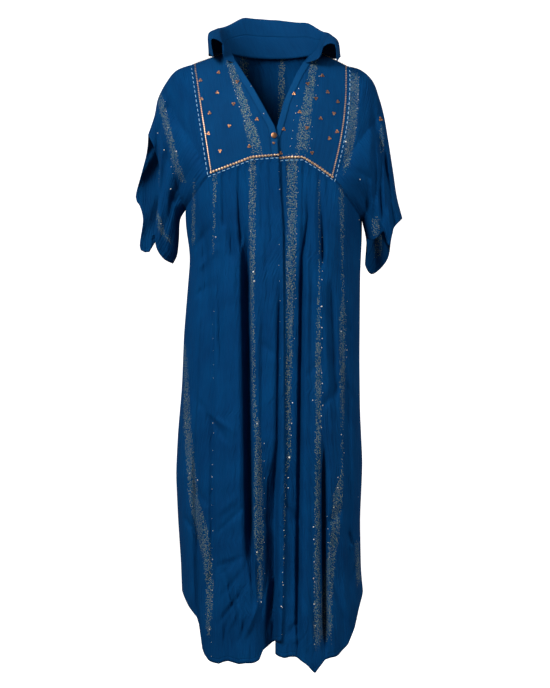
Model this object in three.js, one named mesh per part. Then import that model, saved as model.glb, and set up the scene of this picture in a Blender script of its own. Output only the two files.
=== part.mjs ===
// Kaftan: a long loose dress of thin woven cloth, open down the front and held out as it is when worn.
// Millimetres, +Z up, the front towards -Y, +X towards the wearer's left.
// The origin is on the shoulders, at the base of the neck, where the wearer holds it up.
// Every panel is a grid of points on its outside face, given its wall inwards along the face's normals.
// Front and back meet on the plane Y = 0, along the shoulders, the tops of the sleeves and the sides.

import * as THREE from 'three';

// ---- driving sizes ----
const WALL = 2; // the cloth with its turned edges and its crinkle
const SEAM_INSET = 0.3; // each panel stays this far back from a seam line
const PLANE_INSET = 0.16; // the same, on the plane where front and back meet
const MIDDLE_X = 8; // middle of the neck and of the back
const BAND_WIDTH = 13; // front band along the neck edge
const BAND_WALL = 1.4;
const BAND_LIFT = 0.4; // band above the yoke it lies on
const UNDERLAP = { depth: 6, full: 34, gone: 62 }; // how far the left front lies behind the right one
const CHEST = { front: 118, back: 98, halfWidth: 235 }; // depth of the chest off the seam plane
const NECK = { halfWidth: 86, backDepth: 62, backZ: 14, sideZ: 18 };
const SLEEVE_DEPTH = { armhole: 68, cuff: 50 }; // half the sleeve's thickness, front to back
const SHOULDER_TURN = 0.35; // where on the sleeve's round the yoke's side seam lies
const BUTTON = { radius: 5.5, thick: 3.6, x: 8, z: -163, lift: 0.5 };

// ---- grid counts ----
const YOKE_ROWS = 9;
const YOKE_COLS = 28;
const BACK_COLS = 26;
const NECK_COLS = 18; // of the back's columns, those that end on the neck edge
const ARMPIT_ROWS = 6;
const UNDERARM_ROWS = 5;
const SLEEVE_COLS = 8;
const SKIRT_ROWS = 20;
const COLLAR_STEPS = 28;
const BAND_FIRST_ROW = 3;

// ---- cut of each half, as worn: points are [x, z] on the seam plane or seen from the front ----
const RIGHT = {
  side: -1,
  shoulder: [-152, -8],
  neck: [-78, 18],
  corner: [-116, -237],
  armpit: [-169, -300],
  yokeBow: 0,
  neckEdge: [
    { z: 18, x: -78 },
    { z: -6, x: -70 },
    { z: -73, x: -29 },
    { z: -146, x: 10 },
    { z: -170, x: 15 },
    { z: -204, x: 17 },
  ],
  yokeHem: [
    { x: -116, z: -237 },
    { x: -76, z: -223 },
    { x: -35, z: -208 },
    { x: 17, z: -204 },
  ],
  overarm: [[-152, -8], [-188, -22], [-209, -48], [-224, -78], [-231, -112], [-244, -150]],
  underarm: [[-169, -300], [-179, -318], [-182, -360], [-186, -392], [-194, -408]],
  overarmAtCorner: 0.5,
  overarmAtArmpit: 0.78,
  cuffFront: [
    [-194, -408], [-210, -400], [-225, -378], [-227, -343],
    [-222, -287], [-219, -222], [-230, -178], [-244, -150],
  ],
  cuffBack: [
    [-194, -408], [-218, -390], [-243, -384], [-261, -378], [-257, -315],
    [-263, -290], [-272, -274], [-258, -220], [-248, -180], [-244, -150],
  ],
  sideSeam: [
    { z: -300, x: -169 },
    { z: -340, x: -161 },
    { z: -378, x: -158 },
    { z: -462, x: -165 },
    { z: -548, x: -172 },
    { z: -652, x: -176 },
    { z: -744, x: -184 },
    { z: -824, x: -188 },
    { z: -914, x: -184 },
    { z: -1004, x: -178 },
    { z: -1066, x: -176 },
    { z: -1200, x: -164 },
  ],
  openingEdge: [
    { z: -204, x: 17 },
    { z: -255, x: 24 },
    { z: -771, x: 29 },
    { z: -1005, x: 27 },
    { z: -1100, x: 24 },
    { z: -1160, x: 21 },
  ],
  hem: [
    { across: 0, z: -1058 },
    { across: 0.065, z: -1082 },
    { across: 0.165, z: -1106 },
    { across: 0.2, z: -1116 },
    { across: 0.225, z: -1172 },
    { across: 0.28, z: -1184 },
    { across: 0.355, z: -1189 },
    { across: 0.46, z: -1182 },
    { across: 0.57, z: -1186 },
    { across: 0.7, z: -1184 },
    { across: 0.78, z: -1178 },
    { across: 0.82, z: -1160 },
    { across: 0.9, z: -1150 },
    { across: 1, z: -1140 },
  ],
};
const LEFT = {
  side: 1,
  shoulder: [153, -12],
  neck: [94, 18],
  corner: [122, -246],
  armpit: [184, -322],
  yokeBow: 9,
  neckEdge: [
    { z: 18, x: 94 },
    { z: 6, x: 79 },
    { z: -13, x: 65 },
    { z: -36, x: 52 },
    { z: -91, x: 27 },
    { z: -142, x: 13 },
    { z: -204, x: -10 },
  ],
  yokeHem: [
    { x: -10, z: -212 },
    { x: 37, z: -208 },
    { x: 64, z: -208 },
    { x: 94, z: -226 },
    { x: 122, z: -246 },
  ],
  overarm: [
    [153, -12], [181, -20], [205, -42], [219, -78], [228, -112],
    [237, -165], [246, -222], [254, -275], [265, -317],
  ],
  underarm: [[184, -322], [188, -338], [193, -357]],
  overarmAtCorner: 0.36,
  overarmAtArmpit: 0.64,
  cuffFront: [
    [193, -357], [202, -362], [214, -356], [225, -345],
    [235, -374], [242, -352], [247, -336], [265, -317],
  ],
  cuffBack: [
    [193, -357], [195, -382], [192, -408], [205, -427], [226, -413],
    [240, -390], [245, -356], [250, -334], [265, -317],
  ],
  sideSeam: [
    { z: -322, x: 184 },
    { z: -378, x: 181 },
    { z: -468, x: 180 },
    { z: -598, x: 179 },
    { z: -700, x: 180 },
    { z: -806, x: 185 },
    { z: -918, x: 180 },
    { z: -1022, x: 182 },
    { z: -1068, x: 187 },
    { z: -1200, x: 186 },
  ],
  openingEdge: [
    { z: -212, x: -10 },
    { z: -700, x: -2 },
    { z: -1000, x: 4 },
    { z: -1100, x: 11 },
    { z: -1190, x: 16 },
  ],
  hem: [
    { across: 0, z: -1060 },
    { across: 0.06, z: -1088 },
    { across: 0.11, z: -1124 },
    { across: 0.19, z: -1156 },
    { across: 0.33, z: -1171 },
    { across: 0.45, z: -1172 },
    { across: 0.56, z: -1205 },
    { across: 0.64, z: -1188 },
    { across: 0.77, z: -1173 },
    { across: 0.9, z: -1174 },
    { across: 1, z: -1172 },
  ],
};

// How far the skirt hangs off the seam plane, front and back, at each height.
const HANG = [
  { z: -200, front: 118, back: 98 },
  { z: -400, front: 124, back: 106 },
  { z: -700, front: 134, back: 116 },
  { z: -1000, front: 142, back: 124 },
  { z: -1210, front: 147, back: 130 },
];

// The skirt's large folds: grooves that run down from "from" to "to", drifting from xTop to xFoot.
const FRONT_FOLDS = [
  { xTop: -88, xFoot: -72, from: -238, to: -400, depth: 8, width: 7 },
  { xTop: -60, xFoot: -58, from: -222, to: -330, depth: 9, width: 6 },
  { xTop: -45, xFoot: -30, from: -330, to: -1010, depth: 24, width: 9 },
  { xTop: -118, xFoot: -108, from: -520, to: -960, depth: 8, width: 11 },
  { xTop: 18, xFoot: 12, from: -520, to: -800, depth: 7, width: 8 },
  { xTop: 6, xFoot: -4, from: -760, to: -1330, depth: 17, width: 13 },
  { xTop: 72, xFoot: 56, from: -214, to: -1130, depth: 27, width: 10 },
  { xTop: 103, xFoot: 103, from: -240, to: -400, depth: 10, width: 7 },
  { xTop: 107, xFoot: 107, from: -800, to: -1140, depth: 17, width: 9 },
  { xTop: 124, xFoot: 130, from: -420, to: -590, depth: 7, width: 10 },
];
const BACK_FOLDS = [
  { xTop: -112, xFoot: -126, from: -300, to: -1000, depth: 14, width: 13 },
  { xTop: -62, xFoot: -74, from: -420, to: -1160, depth: 20, width: 12 },
  { xTop: -14, xFoot: -20, from: -330, to: -1090, depth: 15, width: 11 },
  { xTop: 38, xFoot: 34, from: -460, to: -1180, depth: 21, width: 12 },
  { xTop: 84, xFoot: 92, from: -300, to: -1060, depth: 14, width: 12 },
  { xTop: 128, xFoot: 136, from: -520, to: -1130, depth: 12, width: 11 },
];

// The gathers under each yoke half: places along its lower seam, from the side to the opening.
const GATHERS = [
  { at: 0.07, depth: 3.4 },
  { at: 0.19, depth: 5 },
  { at: 0.31, depth: 3.6 },
  { at: 0.42, depth: 5.4 },
  { at: 0.54, depth: 4 },
  { at: 0.65, depth: 5.2 },
  { at: 0.76, depth: 3.2 },
  { at: 0.88, depth: 4.4 },
];
const GATHER = { width: 0.034, start: 14, fade: 85 };

// Folds along each sleeve: "across" runs from the body's side to the top of the sleeve.
const SLEEVE_FOLDS = [
  { across: 0.2, from: 0.45, to: 0.98, depth: 9, width: 0.07 },
  { across: 0.52, from: 0.55, to: 1.1, depth: 7, width: 0.08 },
  { across: 0.8, from: 0.3, to: 1.1, depth: 11, width: 0.06 },
];

// The collar, from its right front end round the back to its left one. Each row gives the section there:
// how far out from the neck seam and how far up the stand's top, the roll, the fall's middle and edge lie.
const COLLAR = [
  {
    at: 0, standOut: 27, standUp: 6, rollOut: 29, rollUp: 34,
    fallOut: 52, fallUp: 43, edgeOut: 48, edgeUp: 7,
  },
  {
    at: 0.17, standOut: 10, standUp: 22, rollOut: 23, rollUp: 43,
    fallOut: 42, fallUp: 35, edgeOut: 44, edgeUp: -6,
  },
  {
    at: 0.25, standOut: 7, standUp: 31, rollOut: 17, rollUp: 55,
    fallOut: 34, fallUp: 46, edgeOut: 42, edgeUp: 6,
  },
  {
    at: 0.33, standOut: 4, standUp: 42, rollOut: 11, rollUp: 78,
    fallOut: 28, fallUp: 60, edgeOut: 37, edgeUp: 18,
  },
  {
    at: 0.5, standOut: 3, standUp: 42, rollOut: 9, rollUp: 77,
    fallOut: 25, fallUp: 60, edgeOut: 34, edgeUp: 20,
  },
  {
    at: 0.67, standOut: 4, standUp: 37, rollOut: 12, rollUp: 66,
    fallOut: 30, fallUp: 50, edgeOut: 39, edgeUp: 12,
  },
  {
    at: 0.75, standOut: 7, standUp: 26, rollOut: 16, rollUp: 42,
    fallOut: 34, fallUp: 32, edgeOut: 43, edgeUp: -4,
  },
  {
    at: 0.83, standOut: 9, standUp: 19, rollOut: 22, rollUp: 33,
    fallOut: 40, fallUp: 20, edgeOut: 47, edgeUp: -14,
  },
  {
    at: 1, standOut: 36, standUp: 7, rollOut: 46, rollUp: 29,
    fallOut: 68, fallUp: 32, edgeOut: 73, edgeUp: -2,
  },
];
const COLLAR_FRONT_SPREAD = 0.25; // in front of the shoulders the collar leans more to the side than forwards
const COLLAR_SEAM_OFFSET = 0.8; // the stand rises this far inside the neck edge
const STAND_STEPS = 3;
const FALL_STEPS = 8;

// ---- small helpers ----
const lerp = THREE.MathUtils.lerp;
const clamp = THREE.MathUtils.clamp;

function smooth(from, to, value) {
  const t = clamp((value - from) / (to - from), 0, 1);
  return t * t * (3 - 2 * t);
}

// Reads column "out" of a table at "value" of column "key", straight between rows.
function readTable(rows, key, value, out) {
  const rising = rows[rows.length - 1][key] > rows[0][key];
  const ordered = rising ? rows : [...rows].reverse();
  if (value <= ordered[0][key]) return ordered[0][out];
  for (let i = 1; i < ordered.length; i += 1) {
    const a = ordered[i - 1];
    const b = ordered[i];
    if (value <= b[key]) return lerp(a[out], b[out], (value - a[key]) / (b[key] - a[key]));
  }
  return ordered[ordered.length - 1][out];
}

// A smooth curve through [x, z] points, read by its share of the length.
function outline(points) {
  return new THREE.CatmullRomCurve3(points.map(([x, z]) => new THREE.Vector3(x, 0, z)), false, 'centripetal');
}

function groove(distance, width) {
  return Math.exp(-((distance / width) ** 2));
}

// ---- depths off the seam plane ----
function chestDepth(x, rise, full) {
  const across = (x - MIDDLE_X) / CHEST.halfWidth;
  return full * Math.sqrt(1 - across * across) * rise;
}

function foldDepth(folds, x, z) {
  let sum = 0;
  for (const fold of folds) {
    const way = clamp((fold.from - z) / (fold.from - fold.to), 0, 1);
    const x0 = lerp(fold.xTop, fold.xFoot, way);
    const ends = smooth(0, 0.22, way) * (1 - smooth(0.8, 1, way));
    sum += fold.depth * ends * groove(x - x0, fold.width);
  }
  return sum;
}

function gatherDepth(across, below) {
  const strength = smooth(0, GATHER.start, below) * Math.exp(-below / GATHER.fade);
  let sum = 0;
  for (const gather of GATHERS) sum += gather.depth * groove(across - gather.at, GATHER.width);
  return sum * strength;
}

function underlapDepth(half, x) {
  if (half.side < 0) return 0;
  return UNDERLAP.depth * (1 - smooth(UNDERLAP.full, UNDERLAP.gone, x));
}

const sideX = (half, z) => readTable(half.sideSeam, 'z', z, 'x');
const openingX = (half, z) => readTable(half.openingEdge, 'z', z, 'x');

function skirtDepth(x, z, face) {
  const left = sideX(LEFT, z);
  const right = sideX(RIGHT, z);
  const across = clamp((x - (left + right) / 2) / ((left - right) / 2), -1, 1);
  const full = readTable(HANG, 'z', z, face);
  const round = Math.sqrt(1 - Math.abs(across) ** 2.4);
  const folds = foldDepth(face === 'front' ? FRONT_FOLDS : BACK_FOLDS, x, z);
  return full * round - folds * smooth(0, 0.5, round);
}

// ---- grids: rows run down, columns run from the garment's side to its middle ----
function makeGrid(rows, cols, pointAt) {
  const grid = [];
  for (let i = 0; i <= rows; i += 1) {
    const line = [];
    for (let j = 0; j <= cols; j += 1) line.push(pointAt(i, j));
    grid.push(line);
  }
  return grid;
}

const rowTurn = (i) => (i / YOKE_ROWS) * (Math.PI / 2);

function yokeSide(half, i) {
  const t = 1 - Math.cos(rowTurn(i));
  const bow = half.side * half.yokeBow * Math.sin(Math.PI * t);
  return [lerp(half.shoulder[0], half.corner[0], t) + bow, lerp(half.shoulder[1], half.corner[1], t)];
}

function yokeGrid(half) {
  const footZ = half.neckEdge[half.neckEdge.length - 1].z;
  const footX = half.neckEdge[half.neckEdge.length - 1].x;
  return makeGrid(YOKE_ROWS, YOKE_COLS, (i, j) => {
    const t = 1 - Math.cos(rowTurn(i));
    const [x0, z0] = yokeSide(half, i);
    const z1 = lerp(half.neck[1], footZ, t);
    const x1 = readTable(half.neckEdge, 'z', z1, 'x');
    const band = BAND_WIDTH / Math.abs(x1 - x0);
    const u = j === YOKE_COLS ? 1 : (j / (YOKE_COLS - 1)) * (1 - band);
    const seamX = lerp(half.corner[0], footX, u);
    const dip = readTable(half.yokeHem, 'x', seamX, 'z') - lerp(half.corner[1], footZ, u);
    const x = lerp(x0, x1, u);
    const depth = chestDepth(x, Math.sin(rowTurn(i)), CHEST.front);
    const under = underlapDepth(half, x) * smooth(0, 4, i);
    return new THREE.Vector3(x, -(depth - under), lerp(z0, z1, u) + dip * t);
  });
}

// Share of the way from armpit to yoke corner at step k, close together at the armpit.
const armpitShare = (k) => 1 - Math.cos((k / ARMPIT_ROWS) * (Math.PI / 2));
const armpitTurn = (share) => -(1 - share) + SHOULDER_TURN * share * share;

function armpitSection(half, share, full) {
  const cornerDepth = chestDepth(half.corner[0], 1, full);
  const turn = armpitTurn(share);
  const depth = lerp(SLEEVE_DEPTH.armhole, cornerDepth / Math.sqrt(1 - SHOULDER_TURN ** 2), share);
  return { turn, depth, edgeDepth: depth * Math.sqrt(Math.max(0, 1 - turn * turn)) };
}

function armpitPoint(half, share) {
  return [lerp(half.armpit[0], half.corner[0], share), lerp(half.armpit[1], half.corner[1], share)];
}

// Shoulder and sleeve: each row runs from the yoke's side, the armpit line or the underarm seam
// to the top of the sleeve, and the last row is the cuff's edge.
function sleeveGrid(half, face) {
  const full = CHEST[face];
  const sign = face === 'front' ? -1 : 1;
  const overarm = outline(half.overarm);
  const underarm = outline(half.underarm);
  const cuff = outline(face === 'front' ? half.cuffFront : half.cuffBack);
  const rows = YOKE_ROWS + ARMPIT_ROWS + UNDERARM_ROWS;
  return makeGrid(rows, SLEEVE_COLS, (i, k) => {
    let inner;
    let outer;
    let turn = SHOULDER_TURN;
    let depth;
    let pull = 0;
    if (i <= YOKE_ROWS) {
      const t = i / YOKE_ROWS;
      inner = yokeSide(half, i);
      outer = overarm.getPointAt(half.overarmAtCorner * t);
      depth = chestDepth(inner[0], Math.sin(rowTurn(i)), full) / Math.sqrt(1 - SHOULDER_TURN ** 2);
    } else if (i <= YOKE_ROWS + ARMPIT_ROWS) {
      const step = i - YOKE_ROWS;
      const share = armpitShare(ARMPIT_ROWS - step);
      inner = armpitPoint(half, share);
      outer = overarm.getPointAt(lerp(half.overarmAtCorner, half.overarmAtArmpit, step / ARMPIT_ROWS));
      ({ turn, depth } = armpitSection(half, share, full));
    } else {
      const t = (i - YOKE_ROWS - ARMPIT_ROWS) / UNDERARM_ROWS;
      const seam = underarm.getPointAt(t);
      inner = [seam.x, seam.z];
      outer = overarm.getPointAt(lerp(half.overarmAtArmpit, 1, t));
      turn = -1;
      depth = lerp(SLEEVE_DEPTH.armhole, SLEEVE_DEPTH.cuff, t);
      pull = t ** 1.6;
    }
    const start = Math.asin(turn);
    const angle = lerp(start, Math.PI / 2, k / SLEEVE_COLS);
    const across = (Math.sin(angle) - turn) / (1 - turn);
    const x = lerp(inner[0], outer.x, across);
    const z = lerp(inner[1], outer.z, across);
    const edge = cuff.getPointAt(across);
    const cuffX = edge.x - lerp(half.armpitEnd[0], half.cuffTop[0], across);
    const cuffZ = edge.z - lerp(half.armpitEnd[1], half.cuffTop[1], across);
    let folds = 0;
    for (const fold of SLEEVE_FOLDS) {
      const begun = smooth(fold.from, fold.from + 0.25, i / rows);
      const reach = begun * (1 - smooth(fold.to - 0.15, fold.to, i / rows));
      folds += fold.depth * reach * groove(across - fold.across, fold.width);
    }
    const round = Math.cos(angle);
    const y = depth * round - folds * smooth(0, 0.6, round);
    return new THREE.Vector3(x + cuffX * pull, sign * Math.max(0, y), z + cuffZ * pull);
  });
}

// Front skirt: its first row is the armpit line and then the yoke's lower seam.
function frontSkirtGrid(half, yoke) {
  const top = skirtTop(half, CHEST.front, -1);
  top.push(...yoke[YOKE_ROWS].slice(1));
  const x0 = half.armpit[0];
  const x1 = top[top.length - 1].x;
  return makeGrid(SKIRT_ROWS, top.length - 1, (i, j) => {
    const across = (top[j].x - x0) / (x1 - x0);
    return skirtPoint(half, 'front', top[j], across, i, j);
  });
}

// The armpit line, from the armpit up to just before the yoke's corner, or with it where "whole" is set.
function skirtTop(half, full, sign, whole = true) {
  const line = [];
  for (let k = 0; k < ARMPIT_ROWS + (whole ? 1 : 0); k += 1) {
    const share = armpitShare(k);
    const [x, z] = armpitPoint(half, share);
    const depth = k === ARMPIT_ROWS ? chestDepth(x, 1, full) : armpitSection(half, share, full).edgeDepth;
    line.push(new THREE.Vector3(x, sign * depth, z));
  }
  return line;
}

function skirtPoint(half, face, top, across, i, j) {
  if (i === 0) return top.clone();
  const sign = face === 'front' ? -1 : 1;
  const down = (i / SKIRT_ROWS) ** 1.3;
  const z = lerp(top.z, readTable(half.hem, 'across', across, 'z'), down);
  const level = Math.min(z, half.armpit[1]);
  const end = face === 'front' ? openingX(half, z) : MIDDLE_X;
  const x = lerp(sideX(half, level), end, across);
  const settle = smooth(0, 0.16, down);
  const below = top.z - z;
  const inGathers = face === 'front' && j >= ARMPIT_ROWS;
  const seamShare = (j - ARMPIT_ROWS) / YOKE_COLS;
  const gathers = inGathers ? gatherDepth(seamShare, below) : 0;
  const under = face === 'front' ? underlapDepth(half, x) : 0;
  const hung = skirtDepth(x, level, face) - under;
  const depth = lerp(Math.abs(top.y), hung, settle) - gathers;
  return new THREE.Vector3(lerp(top.x, x, settle), sign * Math.max(0, depth), z);
}

// A point on a shoulder seam, from the armhole (0) to the neck (1).
function shoulderPoint(half, share) {
  const [outX, outZ] = half.shoulder;
  const [inX, inZ] = half.neck;
  return new THREE.Vector3(lerp(outX, inX, share), 0, lerp(outZ, inZ, share));
}

// Upper back, between the two armpit lines, from the shoulder seams and the neck edge down.
function upperBackGrid() {
  const seamCols = (BACK_COLS - NECK_COLS) / 2;
  return makeGrid(YOKE_ROWS, BACK_COLS, (i, j) => {
    const u = j / BACK_COLS;
    const turn = rowTurn(i);
    const t = 1 - Math.cos(turn);
    const [xa, za] = yokeSide(RIGHT, i);
    const [xb, zb] = yokeSide(LEFT, i);
    let top;
    if (j <= seamCols) {
      const s = j / seamCols;
      top = shoulderPoint(RIGHT, s);
    } else if (j >= BACK_COLS - seamCols) {
      const s = (BACK_COLS - j) / seamCols;
      top = shoulderPoint(LEFT, s);
    } else {
      const angle = (Math.PI * (j - seamCols)) / NECK_COLS;
      top = neckPoint(angle);
    }
    const x = lerp(xa, xb, u);
    const z = lerp(za, zb, u);
    const onSide = j === 0 || j === BACK_COLS;
    const px = onSide ? x : lerp(top.x, x, t);
    const pz = onSide ? z : lerp(top.z, lerp(RIGHT.corner[1], LEFT.corner[1], u), t);
    const depth = lerp(top.y, chestDepth(px, 1, CHEST.back), Math.sin(turn));
    return new THREE.Vector3(px, depth, pz);
  });
}

// Back neck edge, from the right shoulder seam (angle 0) to the left one (angle pi).
function neckPoint(angle) {
  const cos = Math.cos(angle);
  const x = MIDDLE_X - NECK.halfWidth * cos;
  return new THREE.Vector3(x, NECK.backDepth * Math.sin(angle), lerp(NECK.backZ, NECK.sideZ, cos * cos));
}

// Back skirt: one grid from side seam to side seam.
function backSkirtGrid(upper) {
  const right = skirtTop(RIGHT, CHEST.back, 1, false);
  const left = skirtTop(LEFT, CHEST.back, 1, false).reverse();
  const middle = upper[YOKE_ROWS];
  const top = [...right, ...middle, ...left];
  const last = top.length - 1;
  return makeGrid(SKIRT_ROWS, last, (i, j) => {
    const half = top[j].x <= MIDDLE_X ? RIGHT : LEFT;
    const across = (top[j].x - half.armpit[0]) / (MIDDLE_X - half.armpit[0]);
    return skirtPoint(half, 'back', top[j], across, i, 0);
  });
}

// ---- from grids to closed walls ----
// Points closer than about 0.01 mm are one point, also where they fall in neighbouring cells.
const CELL = 0.01;
const NUDGES = [-0.4 * CELL, 0.4 * CELL];
const keyOf = (x, y, z) => [x, y, z].map((v) => Math.round(v / CELL)).join(',');

function findPoint(index, p) {
  for (const dx of NUDGES) {
    for (const dy of NUDGES) {
      for (const dz of NUDGES) {
        const id = index.get(keyOf(p.x + dx, p.y + dy, p.z + dz));
        if (id !== undefined) return id;
      }
    }
  }
  return -1;
}

// Welds the grids of one shell, which may belong to several panels, and finds the normal at each point.
function weldShell(panels, faceOut) {
  const points = [];
  const index = new Map();
  const owners = [];
  const faces = [];
  for (const [name, grids] of Object.entries(panels)) {
    for (const grid of grids) {
      const ids = grid.map((line) => line.map((p) => {
        let id = findPoint(index, p);
        if (id < 0) {
          id = points.length;
          index.set(keyOf(p.x, p.y, p.z), id);
          points.push(p.clone());
          owners.push(new Set());
        }
        owners[id].add(name);
        return id;
      }));
      const triangles = [];
      for (let i = 0; i + 1 < ids.length; i += 1) {
        for (let j = 0; j + 1 < ids[0].length; j += 1) {
          const [a, b, c, d] = [ids[i][j], ids[i + 1][j], ids[i + 1][j + 1], ids[i][j + 1]];
          triangles.push([a, b, c], [a, c, d]);
        }
      }
      const whole = triangles.filter(([a, b, c]) => a !== b && b !== c && c !== a);
      const turned = faceOut(whole, points);
      for (const [a, b, c] of whole) faces.push({ name, ids: turned ? [a, c, b] : [a, b, c] });
    }
  }
  const normals = points.map(() => new THREE.Vector3());
  for (const { ids } of faces) {
    const n = faceNormal(ids, points);
    for (const id of ids) normals[id].add(n);
  }
  normals.forEach((n) => n.normalize());
  return { points, owners, faces, normals, normalAt: (p) => normals[findPoint(index, p)] };
}

function faceNormal([a, b, c], points) {
  const ab = points[b].clone().sub(points[a]);
  const ac = points[c].clone().sub(points[a]);
  return ab.cross(ac);
}

// Turns a grid so that its faces look towards the given way on the whole.
function towards(way) {
  return (triangles, points) => {
    const sum = new THREE.Vector3();
    for (const ids of triangles) sum.add(faceNormal(ids, points));
    return sum.dot(way) < 0;
  };
}

// Gives one panel of a shell its wall. "side" is -1 for the front and 1 for the back, which stay on
// their own side of the seam plane, and 0 for a piece that has no edge there.
function panelGeometry(shell, name, side, wall = WALL) {
  const own = shell.faces.filter((face) => face.name === name);
  const neighbours = new Map();
  for (const { ids } of own) {
    for (const a of ids) {
      if (!neighbours.has(a)) neighbours.set(a, new Set());
      for (const b of ids) if (a !== b) neighbours.get(a).add(b);
    }
  }
  const used = [...neighbours.keys()];
  const place = new Map(used.map((id, i) => [id, i]));
  const outer = [];
  const inner = [];
  for (const id of used) {
    const p = shell.points[id].clone();
    const n = shell.normals[id].clone();
    if (side !== 0 && Math.abs(p.y) < 1e-6) {
      n.y = 0;
      n.normalize();
    }
    if (shell.owners[id].size > 1) {
      const around = [...neighbours.get(id)];
      const free = around.filter((other) => shell.owners[other].size === 1);
      const way = new THREE.Vector3();
      for (const other of free.length ? free : around) {
        way.add(shell.points[other].clone().sub(p).normalize());
      }
      way.addScaledVector(n, -way.dot(n)).normalize();
      p.addScaledVector(way, free.length ? SEAM_INSET : SEAM_INSET * Math.SQRT2);
    }
    const q = p.clone().addScaledVector(n, -wall);
    if (side !== 0) {
      p.y = side * Math.max(PLANE_INSET, side * p.y);
      q.y = side * Math.max(PLANE_INSET, side * q.y);
    }
    outer.push(p);
    inner.push(q);
  }
  const all = [...outer, ...inner];
  const half = outer.length;
  const triangles = [];
  const edges = new Map();
  for (const { ids } of own) {
    const [a, b, c] = ids.map((id) => place.get(id));
    triangles.push([a, b, c], [a + half, c + half, b + half]);
    for (const [from, to] of [[a, b], [b, c], [c, a]]) edges.set(`${from},${to}`, [from, to]);
  }
  for (const [from, to] of edges.values()) {
    if (edges.has(`${to},${from}`)) continue;
    triangles.push([to, from, from + half], [to, from + half, to + half]);
  }
  return closedGeometry(all, triangles);
}

function closedGeometry(points, triangles) {
  const geometry = new THREE.BufferGeometry();
  const values = points.flatMap((p) => [p.x, p.y, p.z]);
  geometry.setAttribute('position', new THREE.Float32BufferAttribute(values, 3));
  geometry.setIndex(triangles.flat());
  geometry.computeVertexNormals();
  return geometry;
}

// ---- bands, collar and button ----
// A band is the yoke's last column of squares again, lifted off it along the same normals.
function bandGeometry(shell, yoke) {
  const strip = yoke.slice(BAND_FIRST_ROW).map((line) => line.slice(YOKE_COLS - 1));
  const lift = BAND_LIFT + BAND_WALL;
  const lifted = strip.map((line) => line.map((p) => p.clone().addScaledVector(shell.normalAt(p), lift)));
  const own = weldShell({ band: [lifted] }, towards(new THREE.Vector3(0, -1, 0)));
  strip.forEach((line, i) => line.forEach((p, j) => own.normalAt(lifted[i][j]).copy(shell.normalAt(p))));
  return panelGeometry(own, 'band', 0, BAND_WALL);
}

// The neck seam from the right collar end, round the back, to the left collar end.
function neckSeam(rightYoke, leftYoke) {
  const edge = (yoke) => yoke.slice(0, BAND_FIRST_ROW + 1).map((line) => line[YOKE_COLS]);
  const round = [];
  for (let k = 1; k < NECK_COLS; k += 1) round.push(neckPoint((Math.PI * k) / NECK_COLS));
  const points = [...edge(rightYoke).reverse(), ...round, ...edge(leftYoke)];
  return new THREE.CatmullRomCurve3(points.map((p) => p.clone()), false, 'centripetal');
}

// Reads a column of the collar's table at a place between its rows, eased from row to row.
function collarSize(name, at) {
  const next = Math.max(1, COLLAR.findIndex((row) => row.at >= at - 1e-9));
  const a = COLLAR[next - 1];
  const b = COLLAR[next];
  const t = (at - a.at) / (b.at - a.at);
  return lerp(a[name], b[name], 0.5 * t + 0.5 * smooth(0, 1, t));
}

function collarShell(rightYoke, leftYoke) {
  const seam = neckSeam(rightYoke, leftYoke);
  const sections = [];
  for (let k = 0; k <= COLLAR_STEPS; k += 1) {
    const t = k / COLLAR_STEPS;
    const base = seam.getPointAt(t);
    const spread = base.y < 0 ? COLLAR_FRONT_SPREAD : 1;
    const sideways = (base.x - MIDDLE_X) / NECK.halfWidth ** 2;
    const out = new THREE.Vector3(sideways, (spread * base.y) / NECK.backDepth ** 2, 0).normalize();
    const read = (name) => collarSize(name, t);
    const foot = base.clone().addScaledVector(out, -COLLAR_SEAM_OFFSET);
    const at = (o, u) => foot.clone().addScaledVector(out, o).add(new THREE.Vector3(0, 0, u));
    const section = new THREE.CatmullRomCurve3([
      at(0, 0.5),
      at(read('standOut'), read('standUp')),
      at(read('rollOut'), read('rollUp')),
      at(read('fallOut'), read('fallUp')),
      at(read('edgeOut'), read('edgeUp')),
    ]);
    sections.push(section);
  }
  const stand = makeGrid(STAND_STEPS, COLLAR_STEPS, (i, k) => sections[k].getPoint((i / STAND_STEPS) * 0.25));
  const fallShare = (i) => 0.25 + (i / FALL_STEPS) * 0.75;
  const fall = makeGrid(FALL_STEPS, COLLAR_STEPS, (i, k) => sections[k].getPoint(fallShare(i)));
  return weldShell({ collar_stand: [stand], collar_fall: [fall] }, () => false);
}

function buttonGeometry() {
  const { radius, thick } = BUTTON;
  const left = (RIGHT.neck[1] - BUTTON.z) / (RIGHT.neck[1] - RIGHT.neckEdge[RIGHT.neckEdge.length - 1].z);
  const rise = Math.sqrt(1 - (1 - left) ** 2);
  const bandY = -(chestDepth(BUTTON.x, rise, CHEST.front) + BAND_LIFT + BAND_WALL);
  const profile = [
    new THREE.Vector2(0, 0),
    new THREE.Vector2(radius * 0.7, 0),
    new THREE.Vector2(radius, thick * 0.35),
    new THREE.Vector2(radius, thick * 0.6),
    new THREE.Vector2(radius * 0.75, thick * 0.92),
    new THREE.Vector2(0, thick),
  ];
  const geometry = new THREE.LatheGeometry(profile, 20);
  geometry.rotateX(Math.PI);
  geometry.translate(BUTTON.x, bandY - BUTTON.lift, BUTTON.z);
  return geometry;
}

// ---- materials and the whole ----
const clothMaterial = () =>
  new THREE.MeshStandardMaterial({ color: 0x00457a, roughness: 0.62, metalness: 0 });
const bandMaterial = () => new THREE.MeshStandardMaterial({ color: 0x0a4d7f, roughness: 0.6, metalness: 0 });
const copperMaterial = () =>
  new THREE.MeshStandardMaterial({ color: 0xc98a5a, roughness: 0.35, metalness: 0.9 });

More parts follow.
